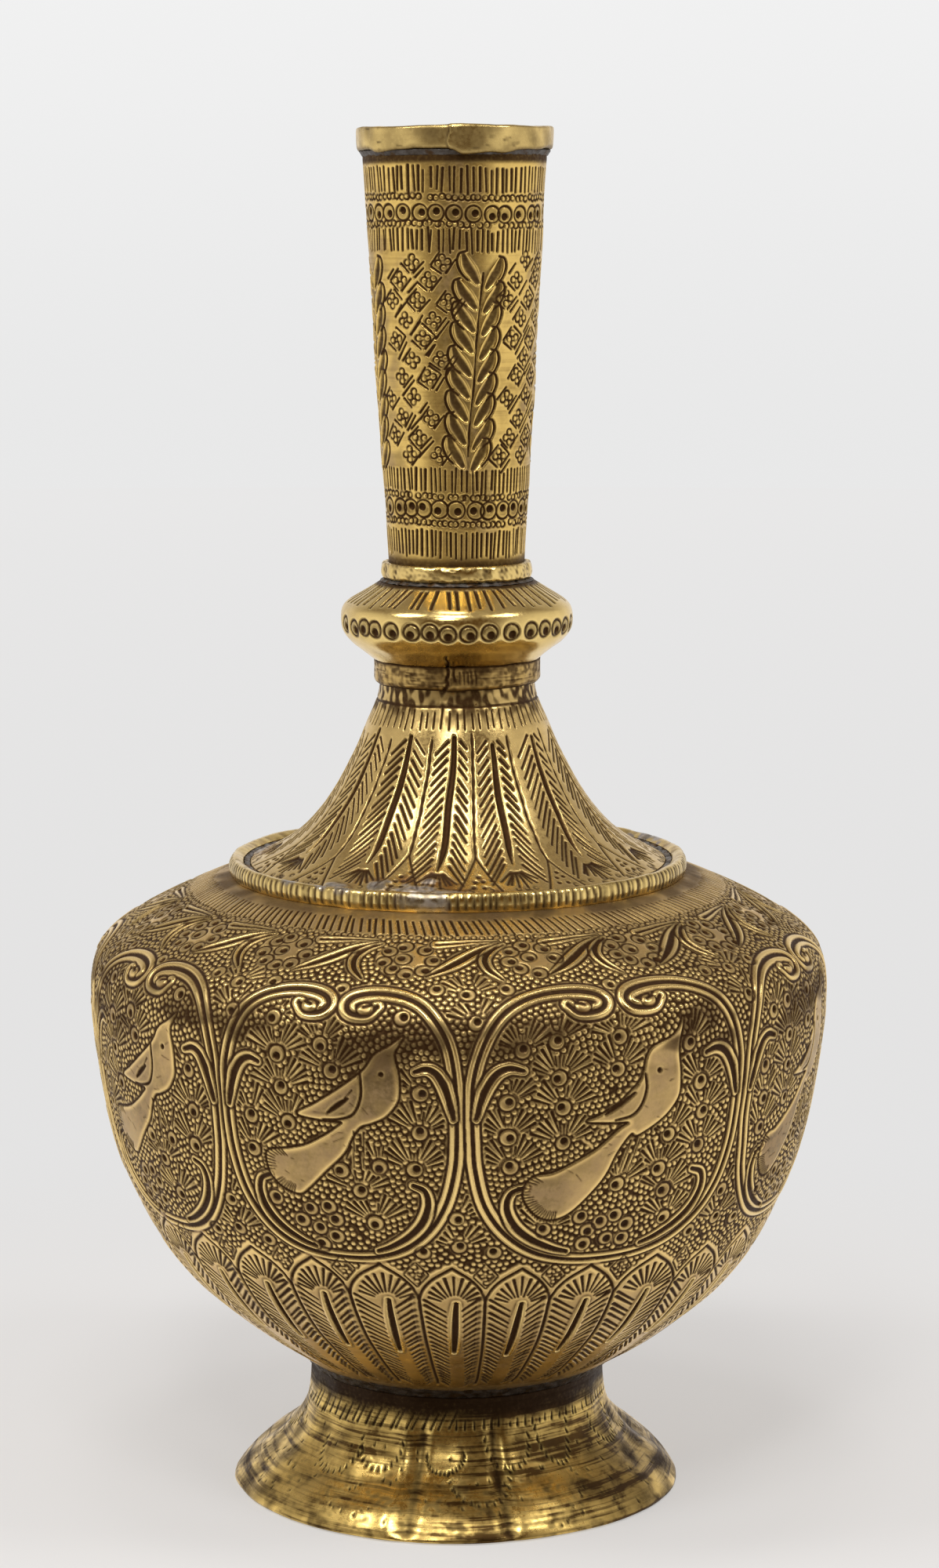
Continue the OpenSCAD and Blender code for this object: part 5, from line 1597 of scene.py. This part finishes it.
# The room: pale behind, beside and above the vessel, darker towards the front, where the photographer stands
w = bpy.data.worlds.new("studio")
sc.world = w
w.use_nodes = True
nt = w.node_tree
nt.nodes.clear()
wo = nt.nodes.new("ShaderNodeOutputWorld")
bg = nt.nodes.new("ShaderNodeBackground")
bc = nt.nodes.new("ShaderNodeBackground")
bc.inputs["Color"].default_value = (1, 1, 1, 1)
ms = nt.nodes.new("ShaderNodeMixShader")
lp = nt.nodes.new("ShaderNodeLightPath")
tc = nt.nodes.new("ShaderNodeTexCoord")
sx = nt.nodes.new("ShaderNodeSeparateXYZ")
nt.links.new(tc.outputs["Generated"], sx.inputs[0])


def wmap(src, lo, hi, a, b):
    n = nt.nodes.new("ShaderNodeMapRange")
    n.interpolation_type = "SMOOTHSTEP"
    nt.links.new(src, n.inputs["Value"])
    for key, v in (("From Min", lo), ("From Max", hi), ("To Min", a), ("To Max", b)):
        n.inputs[key].default_value = v
    return n.outputs["Result"]


def wmath(op, a, b):
    n = nt.nodes.new("ShaderNodeMath")
    n.operation = op
    for i, v in enumerate((a, b)):
        if hasattr(v, "is_linked"):
            nt.links.new(v, n.inputs[i])
        else:
            n.inputs[i].default_value = v
    return n.outputs[0]


X, Y, Z = sx.outputs
low = wmap(Z, 0.05, 0.9, 1.0, 0.35)
back = wmath("MULTIPLY", wmap(Y, 0.15, 0.75, 0.0, 0.66), low)
side = wmath("MULTIPLY", wmap(wmath("ABSOLUTE", X, 0.0), 0.5, 0.85, 0.0, 0.7), low)
over = wmap(Z, 0.5, 0.9, 0.0, 0.2)
table = wmath("ADD", wmap(Z, -0.65, -0.25, 0.5, 0.0), wmap(Z, -0.3, 0.15, 0.2, 0.0))
table = wmath("SUBTRACT", table, wmap(Z, -1.0, -0.75, 0.4, 0.0))
lit = wmath("MAXIMUM", wmath("MAXIMUM", back, side), wmath("MAXIMUM", over, table))
lit = wmath("MULTIPLY", lit, 1.12)
nt.links.new(lit, bg.inputs["Strength"])
nt.links.new(wmap(Z, -0.075, 0.08, 0.81, 0.885), bc.inputs["Strength"])
bg.inputs["Color"].default_value = (1, 1, 1, 1)
# what is dark in the room is brown
dim = nt.nodes.new("ShaderNodeBackground")
dim.inputs["Color"].default_value = (1.0, 0.58, 0.24, 1)
dim.inputs["Strength"].default_value = 0.095
both = nt.nodes.new("ShaderNodeAddShader")
nt.links.new(bg.outputs[0], both.inputs[0])
nt.links.new(dim.outputs[0], both.inputs[1])
nt.links.new(lp.outputs["Is Camera Ray"], ms.inputs[0])
nt.links.new(both.outputs[0], ms.inputs[1])
nt.links.new(bc.outputs[0], ms.inputs[2])
nt.links.new(ms.outputs[0], wo.inputs["Surface"])


def softbox(name, az, el, dist, sx_, sy_, power, aim=(0, 0, 0.15)):
    """A rectangular light; az is from the front, + to the right, el above the floor."""
    L = bpy.data.lights.new(name, "AREA")
    L.shape = "RECTANGLE"
    L.size, L.size_y = sx_, sy_
    L.energy = power
    o = bpy.data.objects.new(name, L)
    a, e = math.radians(az), math.radians(el)
    from mathutils import Vector
    p = Vector((dist * math.cos(e) * math.sin(a), -dist * math.cos(e) * math.cos(a), dist * math.sin(e))) + Vector(aim)
    o.location = p
    o.rotation_euler = (Vector(aim) - p).to_track_quat("-Z", "Y").to_euler()
    o.visible_camera = False
    sc.collection.objects.link(o)
    return o


softbox("left_box", -62, 50, 1.0, 0.22, 0.30, 2.0)
softbox("front_box", -11, 39, 1.1, 0.16, 0.20, 1.7)
softbox("high_box", -5, 58, 1.1, 0.34, 0.22, 2.7)
softbox("top_box", -20, 84, 1.0, 0.18, 0.18, 0.8)
softbox("right_box", 62, 48, 1.1, 0.22, 0.30, 2.0)

cam = bpy.data.cameras.new("camera")
cam.sensor_fit = "VERTICAL"
cam.sensor_height = 36.0
cam.lens = 36.0 * 4985 / 2000
cam.clip_start, cam.clip_end = 0.01, 20
co = bpy.data.objects.new("camera", cam)
co.location = (0.0, -0.8524, 0.286)
co.rotation_euler = (math.radians(90 - 8.60), 0.0, math.radians(-0.195))
sc.collection.objects.link(co)
sc.camera = co
